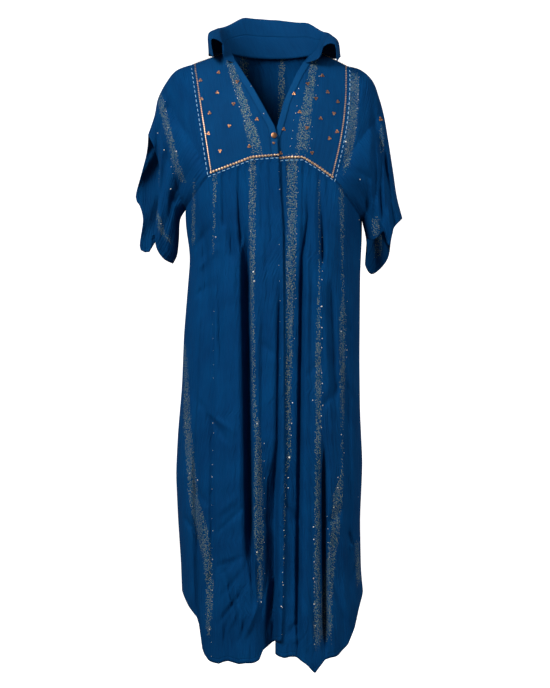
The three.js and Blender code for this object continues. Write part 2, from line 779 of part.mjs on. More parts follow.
function addPiece(group, name, geometry, material) {
  const mesh = new THREE.Mesh(geometry, material);
  mesh.name = name;
  group.add(mesh);
  return mesh;
}

for (const half of [RIGHT, LEFT]) {
  half.armpitEnd = half.underarm[half.underarm.length - 1];
  half.cuffTop = half.overarm[half.overarm.length - 1];
}

const kaftan = new THREE.Group();
const frontWay = new THREE.Vector3(0, -1, 0);
const backWay = new THREE.Vector3(0, 1, 0);

const yokeRight = yokeGrid(RIGHT);
const yokeLeft = yokeGrid(LEFT);
const rightShell = weldShell({
  yoke_right: [yokeRight],
  front_right: [sleeveGrid(RIGHT, 'front'), frontSkirtGrid(RIGHT, yokeRight)],
}, towards(frontWay));
const leftShell = weldShell({
  yoke_left: [yokeLeft],
  front_left: [sleeveGrid(LEFT, 'front'), frontSkirtGrid(LEFT, yokeLeft)],
}, towards(frontWay));
const upperBack = upperBackGrid();
const backShell = weldShell({
  back: [upperBack, sleeveGrid(RIGHT, 'back'), sleeveGrid(LEFT, 'back'), backSkirtGrid(upperBack)],
}, towards(backWay));
const collar = collarShell(yokeRight, yokeLeft);

addPiece(kaftan, 'front_right', panelGeometry(rightShell, 'front_right', -1), clothMaterial());
addPiece(kaftan, 'yoke_right', panelGeometry(rightShell, 'yoke_right', -1), clothMaterial());
addPiece(kaftan, 'front_left', panelGeometry(leftShell, 'front_left', -1), clothMaterial());
addPiece(kaftan, 'yoke_left', panelGeometry(leftShell, 'yoke_left', -1), clothMaterial());
addPiece(kaftan, 'back', panelGeometry(backShell, 'back', 1), clothMaterial());
addPiece(kaftan, 'band_right', bandGeometry(rightShell, yokeRight), bandMaterial());
addPiece(kaftan, 'band_left', bandGeometry(leftShell, yokeLeft), bandMaterial());
addPiece(kaftan, 'collar_stand', panelGeometry(collar, 'collar_stand', 0), clothMaterial());
addPiece(kaftan, 'collar_fall', panelGeometry(collar, 'collar_fall', 0), clothMaterial());
addPiece(kaftan, 'button', buttonGeometry(), copperMaterial());

export default kaftan;
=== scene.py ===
# Kaftan: a long loose dress of thin crushed cloth with lurex stripes, a beaded yoke and a turned-down collar.
# The cloth shapes are worked out in millimetres, front towards -Y, and turned to metres when a mesh is made.

import math
import random

import bmesh
import bpy
from mathutils import Matrix, Vector, noise
from mathutils.bvhtree import BVHTree


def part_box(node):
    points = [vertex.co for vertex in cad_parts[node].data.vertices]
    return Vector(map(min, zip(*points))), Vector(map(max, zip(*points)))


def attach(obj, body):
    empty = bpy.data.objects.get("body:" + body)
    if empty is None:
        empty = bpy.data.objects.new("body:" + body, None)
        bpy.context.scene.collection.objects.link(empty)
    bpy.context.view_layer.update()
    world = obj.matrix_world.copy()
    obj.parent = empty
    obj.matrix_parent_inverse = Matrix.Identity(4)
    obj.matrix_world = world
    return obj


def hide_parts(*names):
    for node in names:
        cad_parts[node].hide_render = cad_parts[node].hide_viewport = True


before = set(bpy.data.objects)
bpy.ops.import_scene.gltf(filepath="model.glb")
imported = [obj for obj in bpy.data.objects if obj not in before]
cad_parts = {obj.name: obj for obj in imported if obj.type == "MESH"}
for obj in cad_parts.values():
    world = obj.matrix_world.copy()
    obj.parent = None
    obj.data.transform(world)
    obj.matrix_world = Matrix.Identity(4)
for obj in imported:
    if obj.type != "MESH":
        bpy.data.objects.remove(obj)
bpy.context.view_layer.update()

MM = 0.001
HALF_PI = math.pi / 2

# ---- sizes of the cut, in millimetres ----
MIDDLE_X = 8
CLOTH = 0.7  # thickness of the cloth
WELD = 0.02  # points closer than this are sewn together
NO_EDGE = 400  # stands for a distance too far from a turned edge to matter
WAVE_SEED = {"front": 1.3, "back": 6.4}
OUT = {"front": -1, "back": 1}  # which way along Y each face of the garment looks
CHEST = {"front": 118, "back": 98, "half_width": 235}
NECK = {"half_width": 86, "back_depth": 62, "back_z": 14, "side_z": 18}
SLEEVE_DEPTH = {"armhole": 68, "cuff": 50}
SHOULDER_TURN = 0.35
UNDERLAP = {"depth": 6, "full": 34, "gone": 62}
BAND_WIDTH = 13
PLANE_INSET = 0.03  # front and back stay this far from the plane of the side seams

# The two halves. Outlines are (x, z) points as seen from the front, but the neck edge, side seam and opening
# edge are (z, x), and the hem is (share of the way from the side seam to the opening, z).
RIGHT = {
    "side": -1,
    "shoulder": (-152, -8),
    "neck": (-78, 18),
    "corner": (-116, -237),
    "armpit": (-169, -300),
    "yoke_bow": 0,
    "neck_edge": [(18, -78), (-6, -70), (-73, -29), (-146, 10), (-170, 15), (-204, 17)],
    "yoke_hem": [(-116, -237), (-76, -223), (-35, -208), (17, -204)],
    "overarm": [(-152, -8), (-188, -22), (-209, -48), (-224, -78), (-231, -112), (-244, -150)],
    "underarm": [(-169, -300), (-179, -318), (-182, -360), (-186, -392), (-194, -408)],
    "overarm_at": (0.5, 0.78),
    "cuff_front": [
        (-194, -408), (-210, -400), (-225, -378), (-227, -343), (-222, -287), (-219, -222), (-230, -178),
        (-244, -150),
    ],
    "cuff_back": [
        (-194, -408), (-212, -372), (-228, -348), (-239, -350), (-244, -382), (-262, -378), (-257, -315),
        (-263, -290), (-272, -274), (-258, -220), (-248, -180), (-244, -150),
    ],
    "side_seam": [
        (-300, -169), (-340, -161), (-378, -158), (-462, -165), (-548, -172), (-652, -176), (-744, -184),
        (-824, -188), (-914, -184), (-1004, -178), (-1066, -176), (-1200, -164),
    ],
    "opening_edge": [(-204, 17), (-255, 24), (-771, 29), (-1005, 27), (-1100, 24), (-1160, 21)],
    "hem": [
        (0, -1058), (0.065, -1082), (0.155, -1106), (0.168, -1116), (0.186, -1170), (0.25, -1184),
        (0.355, -1189), (0.46, -1182), (0.57, -1186), (0.7, -1184), (0.78, -1178), (0.82, -1160),
        (0.9, -1150), (1, -1140),
    ],
}
LEFT = {
    "side": 1,
    "shoulder": (153, -12),
    "neck": (94, 18),
    "corner": (122, -246),
    "armpit": (184, -322),
    "yoke_bow": 9,
    "neck_edge": [(18, 94), (6, 79), (-13, 65), (-36, 52), (-91, 27), (-142, 13), (-204, -10)],
    "yoke_hem": [(-10, -212), (37, -208), (64, -208), (94, -226), (122, -246)],
    "overarm": [
        (153, -12), (181, -20), (205, -42), (219, -78), (228, -112), (237, -165), (246, -222), (254, -275),
        (265, -317),
    ],
    "underarm": [(184, -322), (188, -338), (193, -357)],
    "overarm_at": (0.36, 0.64),
    "cuff_front": [
        (193, -357), (202, -362), (214, -356), (225, -345), (235, -374), (242, -352), (247, -336),
        (265, -317),
    ],
    "cuff_back": [
        (193, -357), (195, -382), (192, -408), (205, -427), (226, -413), (240, -390), (245, -356),
        (250, -334), (265, -317),
    ],
    "side_seam": [
        (-322, 184), (-378, 181), (-468, 180), (-598, 179), (-700, 180), (-806, 185), (-918, 180),
        (-1022, 182), (-1068, 187), (-1200, 186),
    ],
    "opening_edge": [(-212, -10), (-700, -2), (-1000, 4), (-1100, 11), (-1190, 10)],
    "hem": [
        (0, -1060), (0.06, -1088), (0.11, -1124), (0.19, -1156), (0.31, -1175), (0.45, -1179),
        (0.56, -1205), (0.64, -1188), (0.77, -1173), (0.9, -1174), (1, -1172),
    ],
}
HALVES = {"right": RIGHT, "left": LEFT}
# How far the skirt hangs from the plane of the side seams, by height: z, distance.
HANG = {
    "front": [(-200, 118), (-400, 124), (-700, 134), (-1000, 142), (-1210, 147)],
    "back": [(-200, 98), (-400, 106), (-700, 116), (-1000, 124), (-1210, 130)],
}

# Large folds: x at the top, x at the foot, from z, to z, depth, width, and the lean: above 0 the flank towards
# +X is wider by that share and the other narrower, below 0 the other way round.
FOLDS = {
    "front": [
        (-91, -88, -230, -350, 11, 4, 0), (-84, -70, -238, -420, 9, 6, -0.2),
        (-60, -56, -218, -390, 14, 4, 0), (-44, -34, -300, -1060, 43, 7.8, -0.6),
        (-112, -110, -420, -1100, 6, 5, -0.4), (20, 15, -420, -900, 14, 5, -0.3),
        (-14, -16, -460, -900, 7, 8, 0.3), (10, 7, -740, -1340, 36, 14, -0.6),
        (66, 53, -250, -1240, 17, 4.5, 0), (62, 48, -300, -1180, 12, 12, -0.5),
        (101, 103, -228, -430, 12, 4, 0), (84, 66, -218, -400, 15, 4.5, 0.2),
        (105, 107, -740, -1190, 30, 6, -0.2), (117, 127, -430, -700, 13, 6, 0),
        (148, 156, -560, -1100, 12, 7, 0.3), (-150, -140, -700, -1160, 13, 6, 0.3),
        (-128, -120, -240, -560, 7, 6, 0),
    ],
    "back": [
        (-112, -126, -300, -1000, 14, 13, 0.2), (-62, -74, -420, -1160, 20, 12, -0.3),
        (-14, -20, -330, -1090, 15, 11, 0), (38, 34, -460, -1180, 21, 12, -0.3),
        (84, 92, -300, -1060, 14, 12, 0.2), (128, 136, -520, -1130, 12, 11, 0),
    ],
}
# Gathers under the yoke: place along the seam, depth.
GATHERS = [(0.07, 3.4), (0.19, 5), (0.31, 3.6), (0.42, 5.4), (0.54, 4), (0.65, 5.2), (0.76, 3.2), (0.88, 4.4)]
GATHER = {"width": 0.034, "start": 14, "fade": 85}
# Folds along each sleeve: place across it, where they start and end down it, depth and width.
SLEEVE_FOLDS = [(0.2, 0.45, 0.98, 9, 0.07), (0.52, 0.55, 1.1, 7, 0.08), (0.8, 0.3, 1.1, 11, 0.06)]

# Creases: from x, z to x, z, depth (a ridge is below 0) and width.
CREASES = {
    "front": [
        (-150, -668, -78, -762, 6.1, 6), (-140, -690, -62, -742, -4.1, 5.1),
        (-105, -1001, -49, -979, 5.2, 4), (-101, -1016, -62, -988, 4.6, 4),
        (-110, -941, -47, -880, 3.9, 3.6), (-106, -900, -60, -860, -4.1, 6.8),
        (-101, -1113, -43, -1030, 5.8, 3.6), (-83, -1127, -57, -1070, -4.6, 3.6),
        (-48, -1134, -20, -1064, -8.1, 3.6), (-26, -980, -20, -1068, 8.1, 4),
        (16, -1000, -8, -1130, 6.9, 3.6), (18, -1016, 4, -1120, -5.8, 3.6), (19, -1040, 13, -1110, 5.8, 4),
        (35, -1131, 55, -1102, 5.2, 4), (38, -1146, 62, -1130, -3.5, 4), (-30, -870, 8, -930, 5.1, 6),
        (-60, -1150, -46, -1092, 4.1, 4), (-130, -1060, -112, -1010, 4.6, 3.6),
        (141, -922, 170, -972, 8.5, 5), (150, -950, 176, -990, -4.6, 3.6),
        (172, -968, 160, -1040, 5.8, 3.6), (140, -640, 96, -700, 4.1, 6), (150, -880, 100, -930, 4.8, 6),
        (-158, -392, -108, -330, 5.4, 6.8), (-150, -430, -96, -372, -4.1, 6),
        (-152, -480, -120, -450, 4.1, 5.1), (166, -400, 122, -330, 5.4, 6.8),
        (158, -440, 112, -380, -4.1, 6), (172, -560, 140, -520, 4.6, 6), (172, -690, 146, -640, 4.1, 5.1),
        (-160, -840, -112, -890, 4.6, 6.8), (-168, -905, -134, -960, 7.6, 5.1),
        (-166, -700, -150, -900, 5.4, 6), (20, -870, 70, -925, 4.4, 6), (-20, -560, 20, -600, 3, 6.8),
        (64, -640, 100, -600, 3.2, 6.8), (-88, -1000, -60, -1120, 4.1, 3.6),
        (-72, -1010, -52, -1140, -3.4, 3.6), (-36, -1010, -30, -1080, 5.4, 3.6),
        (-96, -1060, -50, -1002, 4.1, 4), (-90, -1150, -80, -1090, 4, 3.6),
        (0, -1010, -14, -1120, -4.1, 3.6), (78, -1040, 92, -1160, 4.8, 3.6),
        (60, -1060, 72, -1170, -3.4, 3.6), (120, -1010, 150, -1140, 4.1, 3.6),
        (140, -1040, 160, -1120, -3.4, 3.6), (-150, -960, -134, -1090, 4.1, 3.6),
        (-128, -330, -132, -520, 4, 6), (-100, -440, -92, -640, 4, 6), (84, -420, 78, -620, 4, 6),
        (152, -460, 160, -620, 4, 6), (-76, -500, -70, -760, 4, 7), (2, -240, 4, -420, 5, 5),
        (-16, -230, -14, -360, 5, 4),
    ],
    "front sleeve": [
        (140, -234, 164, -226, 4, 4), (160, -227, 204, -246, 5, 4), (150, -292, 186, -334, 9, 7),
        (206, -140, 208, -350, 9, 5), (217, -128, 222, -360, 11, 5), (228, -150, 231, -330, 9, 4),
        (196, -220, 190, -350, 4, 6), (-159, -298, -198, -274, 9, 7), (-172, -306, -190, -302, 6, 4),
        (-224, -110, -226, -345, 11, 6), (-196, -60, -178, -250, 3, 8), (-176, -40, -160, -180, -2.4, 9),
        (176, -60, 172, -210, -2.4, 9), (-205, -180, -212, -390, 4, 6), (-186, -300, -196, -390, 4, 5),
    ],
    "back sleeve": [
        (152, -290, 190, -340, 6, 8), (-159, -298, -198, -290, 6, 9), (214, -110, 220, -390, 4, 6),
        (-214, -110, -222, -380, 4, 6), (-190, -60, -176, -240, 2.4, 8), (184, -60, 178, -240, 2.4, 8),
    ],
    "back": [
        (-150, -360, -90, -300, 3.4, 8), (158, -380, 98, -310, 3.4, 8), (-60, -196, 60, -206, 2.6, 9),
        (-120, -760, -60, -800, 3.4, 7), (60, -880, 130, -930, 3.4, 7), (-30, -1010, 40, -1050, 3.4, 6),
        (-100, -1040, -46, -1010, 4, 5), (90, -1090, 130, -1030, 4, 5), (40, -620, 110, -590, 2.6, 8),
        (-150, -900, -110, -960, 4, 6),
    ],
}

# The collar round the neck seam, from its right end to its left one: place, then how far out and up
# the stand's top, the roll, the fall's middle and the fall's edge lie.
COLLAR = [
    (0, 27, 6, 29, 34, 52, 43, 48, 7),
    (0.17, 10, 22, 23, 43, 42, 34, 45, -11),
    (0.25, 7, 31, 17, 55, 35, 44, 43, -4),
    (0.33, 4, 42, 11, 78, 29, 56, 38, 8),
    (0.5, 3, 42, 9, 77, 25, 60, 34, 20),
    (0.67, 4, 37, 12, 66, 31, 46, 40, 2),
    (0.75, 7, 26, 16, 42, 35, 29, 43, -11),
    (0.83, 9, 19, 22, 33, 40, 20, 47, -14),
    (1, 36, 7, 46, 29, 68, 32, 73, -2),
]
COLLAR_FRONT_SPREAD = 0.25

# Lurex stripes seen from the front: rows of z, middle x and half width.
STRIPES = {
    "front": [
        [(12, -86, 6), (-17, -78, 8), (-110, -48, 10), (-203, -23, 13)],
        [(10, 92, 6), (-23, 86, 8), (-110, 72, 11), (-203, 60, 14)],
        [(-70, -222, 6), (-86, -217, 8), (-139, -203, 8), (-186, -191, 7), (-230, -180, 8), (-256, -165, 8)],
        [(-30, 168, 8), (-60, 167, 10), (-105, 164, 10), (-168, 157, 10), (-225, 148, 6), (-240, 143, 3)],
        [(-240, -107, 5), (-330, -109, 2.5), (-400, -111, 1.5)],
        [(-250, -149, 2.5), (-300, -150, 4), (-378, -152, 4)],
        [
            (-206, -34, 7.5), (-411, -34, 6), (-485, -34.5, 4.5), (-676, -31, 4.5),
            (-750, -24, 7), (-948, -21, 10.5), (-987, -19, 6), (-1075, -19, 5),
        ],
        [
            (-204, 43.6, 11), (-398, 42, 10), (-555, 38, 7), (-663, 35.6, 6),
            (-787, 38, 5), (-822, 30, 2), (-1005, 27, 1.5),
        ],
        [
            (-250, 96, 1.5), (-446, 96, 2), (-520, 94, 4), (-640, 94, 7),
            (-716, 94, 6), (-900, 92, 6.5), (-1160, 91, 7),
        ],
        [
            (-262, 139, 4), (-300, 140, 5), (-345, 142, 4), (-410, 142, 2), (-480, 143, 3), (-518, 143, 7),
            (-626, 142, 6), (-690, 142, 4), (-745, 142, 2), (-820, 141, 3), (-858, 133, 10), (-930, 127, 10),
            (-1000, 118, 9), (-1055, 110, 12), (-1150, 108, 14),
        ],
        [
            (-570, -170, 4), (-640, -166, 6), (-720, -163, 9), (-870, -150, 10),
            (-930, -133, 14), (-984, -122, 10), (-1038, -117, 8), (-1141, -120, 5),
        ],
        [(-960, 172, 5), (-1050, 176, 6)],
        [(-308, -225, 5), (-345, -214, 7), (-374, -190, 7)],
        [(-140, 221, 5), (-195, 221, 5)],
        [(-320, 209, 7), (-362, 209, 8)],
    ],
    "back": [
        [(0, -150, 8), (-300, -128, 9), (-1180, -130, 10)],
        [(20, -52, 9), (-300, -56, 9), (-1190, -60, 11)],
        [(20, 24, 7), (-300, 22, 7), (-1190, 20, 7)],
        [(20, 98, 9), (-300, 92, 10), (-1190, 96, 11)],
        [(-20, 172, 8), (-300, 150, 8), (-1180, 156, 8)],
        [(-90, -222, 7), (-380, -214, 8)],
        [(-90, 222, 7), (-400, 218, 8)],
    ],
}

# Sprigs of three beads, in staggered rows on each half of the yoke: x, z.
SPRIGS = {
    "right": [
        (-101, -33), (-64, -54), (-103, -75), (-134, -87), (-71, -99), (-118, -116),
        (-25, -131), (-79, -143), (-120, -157), (-40, -184), (-97, -192), (-137, -48),
    ],
    "left": [
        (103, -40), (74, -58), (47, -79), (113, -74), (90, -88), (133, -93), (58, -116),
        (125, -117), (99, -128), (27, -150), (72, -147), (131, -153), (116, -167), (82, -196), (21, -197),
    ],
}
ODD_BEADS = {"right": [(7.3, -178)], "left": [(218, -120), (221, -124), (217, -125)]}  # beads set apart: x, z

# Sequins: single ones (x, z, radius), then lines of small ones (x, z to x, z, pitch, radius).
SEQUINS = [
    (-31.9, -428, 1.7), (-30.1, -446, 1.8), (-105.5, -359, 1.3), (101, -443, 1.3), (100, -495, 1.7),
    (43.6, -682, 1.2), (41.8, -722, 1.1), (139, -543, 1.1), (150.6, -580, 1.2), (-24.7, -722, 1.1),
    (83, -677, 1.1), (-140.7, -834, 1.8), (37.6, -788, 2.1), (41, -745, 1.4), (38.6, -733, 1.1),
    (35.5, -827, 1.3), (35.5, -847, 1.3), (-25.5, -970, 1.7), (-17.2, -1067, 1.3), (84, -1021, 1.6),
    (84.4, -922, 1.3), (22.2, -1074, 1.2), (25.5, -1033, 1.2), (132, -828, 1.4), (132, -848, 1.3),
    (123.8, -886, 1.1), (139, -745, 1.1), (144.5, -781, 1.0), (99.8, -730, 1.1), (27, -928, 1.0),
    (-116.7, -1123, 1.3), (-114.6, -1023, 0.9), (-108.4, -741, 1.0), (148, -172.7, 1.7), (-183, -190, 1.6),
    (176, -246, 1.4), (-208, -186, 1.2), (-196, -262, 1.2), (-216, -330, 1.2), (176, -322, 1.4),
    (193, -398, 1.4), (-222, -150, 1.1),
]
SEQUIN_LINES = [
    (101, -360, 101, -709, 21.6, 1.0), (86, -942, 87, -1168, 20.7, 1.1), (-109, -500, -114, -1180, 27, 0.7),
    (30, -860, 22, -1150, 24, 0.7), (-39, -230, -38, -400, 30, 0.7), (151, -480, 149, -640, 28, 0.7),
    (113, -900, 116, -1060, 26, 0.9), (-176, -620, -150, -900, 33, 0.7), (175, -840, 175, -930, 30, 0.9),
    (-83, -20, -46, -150, 17, 0.7), (-60, -10, -6, -130, 19, 0.7), (62, -30, 40, -190, 17, 0.7),
    (96, -40, 78, -190, 21, 0.7), (176, -40, 170, -150, 15, 0.7), (158, -60, 146, -200, 18, 0.7),
    (-208, -90, -188, -250, 18, 0.7), (17, -230, 21, -700, 36, 0.6), (56, -230, 46, -600, 41, 0.6),
    (-12, -760, -10, -1040, 31, 0.7),
]


# ---- small helpers ----
def lerp(a, b, t):
    return a + (b - a) * t


def clamp(value, low, high):
    return max(low, min(high, value))


def smooth(start, end, value):
    t = clamp((value - start) / (end - start), 0, 1)
    return t * t * (3 - 2 * t)


def groove(distance, width):
    return math.exp(-((distance / width) ** 2))


def wave(a, b, c):
    """Smooth unevenness that runs from about -1 to 1."""
    return noise.noise(Vector((a, b, c)))


def make_grid(rows, cols, at):
    return [[at(i, j) for j in range(cols + 1)] for i in range(rows + 1)]


def read(rows, value, column=1):
    """Reads a table whose first column runs up or down."""
    ordered = rows if rows[-1][0] > rows[0][0] else rows[::-1]
    if value <= ordered[0][0]:
        return ordered[0][column]
    for a, b in zip(ordered, ordered[1:]):
        if value <= b[0]:
            return lerp(a[column], b[column], (value - a[0]) / (b[0] - a[0]))
    return ordered[-1][column]


def read_soft(rows, value, blur, column=1):
    """The same with its corners rounded over a blur either way."""
    near = read(rows, value - blur, column) + read(rows, value + blur, column)
    return (near + 2 * read(rows, value, column)) / 4


class Curve:
    """A smooth curve through points, read by its parameter or by its share of the length."""

    STEPS = 200

    def __init__(self, points):
        self.points = [Vector(p) for p in points]
        self.lengths = [0.0]
        last = self.point(0)
        for i in range(1, self.STEPS + 1):
            now = self.point(i / self.STEPS)
            self.lengths.append(self.lengths[-1] + (now - last).length)
            last = now

    def point(self, t):
        p = self.points
        last = len(p) - 1
        k = min(int(last * t), last - 1)
        w = last * t - k
        p1, p2 = p[k], p[k + 1]
        p0 = p[k - 1] if k > 0 else 2 * p1 - p2
        p3 = p[k + 2] if k + 2 <= last else 2 * p2 - p1
        d0, d1, d2 = ((b - a).length ** 0.5 for a, b in ((p0, p1), (p1, p2), (p2, p3)))
        t1 = ((p1 - p0) / d0 - (p2 - p0) / (d0 + d1) + (p2 - p1) / d1) * d1
        t2 = ((p2 - p1) / d1 - (p3 - p1) / (d1 + d2) + (p3 - p2) / d2) * d1
        return p1 + t1 * w + (3 * (p2 - p1) - 2 * t1 - t2) * w**2 + (2 * (p1 - p2) + t1 + t2) * w**3

    def at(self, share):
        target = clamp(share, 0, 1) * self.lengths[-1]
        low, high = 0, self.STEPS
        while high - low > 1:
            middle = (low + high) // 2
            if self.lengths[middle] <= target:
                low = middle
            else:
                high = middle
        step = self.lengths[high] - self.lengths[low]
        return self.point((low + (target - self.lengths[low]) / step) / self.STEPS)


def outline(points):
    return Curve([(x, 0, z) for x, z in points])


# ---- how far the cloth stands off the plane of the side seams ----
def chest_depth(x, rise, full):
    across = (x - MIDDLE_X) / CHEST["half_width"]
    return full * math.sqrt(1 - across * across) * rise


def fold_depth(face, x, z):
    total = 0
    for x_top, x_foot, start, end, depth, width, lean in FOLDS[face]:
        way = clamp((start - z) / (start - end), 0, 1)
        off = x - lerp(x_top, x_foot, way)
        width *= 1 + math.copysign(lean, off * lean)
        if abs(off) < 3 * width:
            total += depth * smooth(0, 0.22, way) * (1 - smooth(0.8, 1, way)) * groove(off, width)
    return total


def crease_depth(face, x, z):
    total = 0
    for x0, z0, x1, z1, depth, width in CREASES[face]:
        dx, dz = x1 - x0, z1 - z0
        long = dx * dx + dz * dz
        t = ((x - x0) * dx + (z - z0) * dz) / long
        if not -0.1 < t < 1.1:
            continue
        off = abs((x - x0) * dz - (z - z0) * dx) / math.sqrt(long)
        if off < 3 * width:
            total += depth * smooth(-0.1, 0.35, t) * (1 - smooth(0.6, 1.1, t)) * groove(off, width)
    return total


def soft_waves(x, z, seed):
    """The unevenness of hanging cloth: long upright waves, shorter ones in them and a few across."""
    tall = wave(x / 21, z / 330, seed)
    short = wave(x / 8.5, z / 110, seed + 3.7)
    slant = wave((x + 0.6 * z) / 44, (z - 0.4 * x) / 26, seed + 9.1)
    return 3.2 * tall + 1.9 * short + 1.3 * slant


def gather_depth(across, below):
    strength = smooth(0, GATHER["start"], below) * math.exp(-below / GATHER["fade"])
    return strength * sum(depth * groove(across - at, GATHER["width"]) for at, depth in GATHERS)


def underlap(half, x):
    return 0 if half["side"] < 0 else UNDERLAP["depth"] * (1 - smooth(UNDERLAP["full"], UNDERLAP["gone"], x))


def side_x(half, z):
    return read_soft(half["side_seam"], z, 18)


def skirt_depth(x, z, face):
    left, right = side_x(LEFT, z), side_x(RIGHT, z)
    across = clamp((x - (left + right) / 2) / ((left - right) / 2), -1, 1)
    full = read(HANG[face], z)
    rounding = math.sqrt(1 - abs(across) ** 2.4)
    folds = fold_depth(face, x, z) + crease_depth(face, x, z) + soft_waves(x, z, WAVE_SEED[face])
    return full * rounding - folds * smooth(0, 0.5, rounding)


# ---- yokes ----
def yoke_side(half, r):
    t = 1 - math.cos(r * HALF_PI)
    bow = half["side"] * half["yoke_bow"] * math.sin(math.pi * t)
    (sx, sz), (cx, cz) = half["shoulder"], half["corner"]
    return lerp(sx, cx, t) + bow, lerp(sz, cz, t)


def yoke_point(half, r, u):
    t = 1 - math.cos(r * HALF_PI)
    rise = math.sin(r * HALF_PI)
    foot_z, foot_x = half["neck_edge"][-1]
    x0, z0 = yoke_side(half, r)
    z1 = lerp(half["neck"][1], foot_z, t)
    x1 = read(half["neck_edge"], z1)
    dip = read(half["yoke_hem"], lerp(half["corner"][0], foot_x, u)) - lerp(half["corner"][1], foot_z, u)
    x = lerp(x0, x1, u)
    under = underlap(half, x) * smooth(0, 4 / 9, r)
    return Vector((x, under - chest_depth(x, rise, CHEST["front"]), lerp(z0, z1, u) + dip * t))


def yoke_normal(half, r, u):
    step = 0.02
    down = yoke_point(half, min(1, r + step), u) - yoke_point(half, max(0, r - step), u)
    across = yoke_point(half, r, min(1, u + step)) - yoke_point(half, r, max(0, u - step))
    normal = down.cross(across).normalized()
    return normal if normal.y < 0 else -normal


def yoke_grid(half, rows=64, cols=84):
    def at(i, j):
        r, u = i / rows, j / cols
        p = yoke_point(half, r, u)
        ends = math.sin(math.pi * r) * math.sin(math.pi * u)
        pucker = wave(p.x / 17, p.z / 46, 4.4) + 0.5 * wave(p.x / 34, p.z / 12, 8.1)
        p.y += 1.3 * ends * pucker
        return p

    return make_grid(rows, cols, at)


# ---- shoulders and sleeves ----
ARMPIT_STEPS = 22
YOKE_COLS = 100
BACK_COLS = 130


def armpit_share(k):
    return 1 - math.cos(k / ARMPIT_STEPS * HALF_PI)


def armpit_section(half, share, full):
    corner_depth = chest_depth(half["corner"][0], 1, full)
    turn = -(1 - share) + SHOULDER_TURN * share * share
    depth = lerp(SLEEVE_DEPTH["armhole"], corner_depth / math.sqrt(1 - SHOULDER_TURN**2), share)
    return turn, depth


def armpit_point(half, share):
    (ax, az), (cx, cz) = half["armpit"], half["corner"]
    return lerp(ax, cx, share), lerp(az, cz, share)


def sleeve_grid(half, face, cols=56, shoulder_rows=50, under_rows=34):
    full = CHEST[face]
    overarm, underarm = outline(half["overarm"]), outline(half["underarm"])
    cuff = outline(half["cuff_" + face])
    at_corner, at_armpit = half["overarm_at"]
    (end_x, end_z), (top_x, top_z) = half["underarm"][-1], half["overarm"][-1]
    seed = 2.2 + half["side"] + (0 if face == "front" else 5)

    def at(i, k):
        turn, pull = SHOULDER_TURN, 0
        if i <= shoulder_rows:
            t = i / shoulder_rows
            station = 0.45 * t
            inner = yoke_side(half, t)
            outer = overarm.at(at_corner * t)
            depth = chest_depth(inner[0], math.sin(t * HALF_PI), full) / math.sqrt(1 - SHOULDER_TURN**2)
        elif i <= shoulder_rows + ARMPIT_STEPS:
            step = i - shoulder_rows
            station = 0.45 + 0.3 * step / ARMPIT_STEPS
            share = armpit_share(ARMPIT_STEPS - step)
            inner = armpit_point(half, share)
            outer = overarm.at(lerp(at_corner, at_armpit, step / ARMPIT_STEPS))
            turn, depth = armpit_section(half, share, full)
        else:
            t = (i - shoulder_rows - ARMPIT_STEPS) / under_rows
            station = 0.75 + 0.25 * t
            seam = underarm.at(t)
            inner = (seam.x, seam.z)
            outer = overarm.at(lerp(at_armpit, 1, t))
            turn, pull = -1, t**1.6
            depth = lerp(SLEEVE_DEPTH["armhole"], SLEEVE_DEPTH["cuff"], t)
        angle = lerp(math.asin(turn), HALF_PI, k / cols)
        across = (math.sin(angle) - turn) / (1 - turn)
        edge = cuff.at(across)
        x = lerp(inner[0], outer.x, across) + pull * (edge.x - lerp(end_x, top_x, across))
        z = lerp(inner[1], outer.z, across) + pull * (edge.z - lerp(end_z, top_z, across))
        folds = 0
        for place, start, end, fold, width in SLEEVE_FOLDS:
            reach = smooth(start, start + 0.25, station) * (1 - smooth(end - 0.15, end, station))
            folds += fold * reach * groove(across - place, width)
        inside = smooth(0, 0.25, across) * smooth(0, 0.2, station)
        folds += inside * (0.8 * soft_waves(x, z, seed) + crease_depth(face + " sleeve", x, z))
        rounding = math.cos(angle)
        y = max(0, depth * rounding - folds * smooth(0, 0.6, rounding))
        return Vector((x, OUT[face] * y, z))

    return make_grid(shoulder_rows + ARMPIT_STEPS + under_rows, cols, at)


# ---- skirts and upper back ----
def skirt_top(half, face, whole=True):
    """The armpit line, up to the yoke's corner, or to just before it where whole is not set."""
    line = []
    for k in range(ARMPIT_STEPS + (1 if whole else 0)):
        share = armpit_share(k)
        x, z = armpit_point(half, share)
        turn, depth = armpit_section(half, share, CHEST[face])
        line.append(Vector((x, OUT[face] * depth * math.sqrt(max(0, 1 - turn * turn)), z)))
    if whole:
        line[-1].y = OUT[face] * chest_depth(half["corner"][0], 1, CHEST[face])
    return line


def skirt_point(half, face, top, across, share, seam_share=-1):
    """A point of the skirt below a point of its top. Off the yoke's seam, the share along it is below 0."""
    if share == 0:
        return top.copy()
    down = share**1.3
    ripple = 2.6 * wave(across * 9 + half["side"] * 5, 3.3, 0) * smooth(0.8, 1, share)
    z = lerp(top.z, read_soft(half["hem"], across, 0.006) + ripple, down)
    level = min(z, half["armpit"][1])
    end = read_soft(half["opening_edge"], z, 20) if face == "front" else MIDDLE_X
    x = lerp(side_x(half, level), end, across)
    settle = smooth(0, 0.16, down)
    gathers = gather_depth(seam_share, top.z - z) if seam_share >= 0 else 0
    gathers += 3.2 * smooth(0.955, 1, share) * wave(x / 9, 5.5, half["side"])
    under = underlap(half, x) if face == "front" else 0
    depth = lerp(abs(top.y), skirt_depth(x, level, face) - under, settle) - gathers
    return Vector((lerp(top.x, x, settle), OUT[face] * max(0, depth), z))


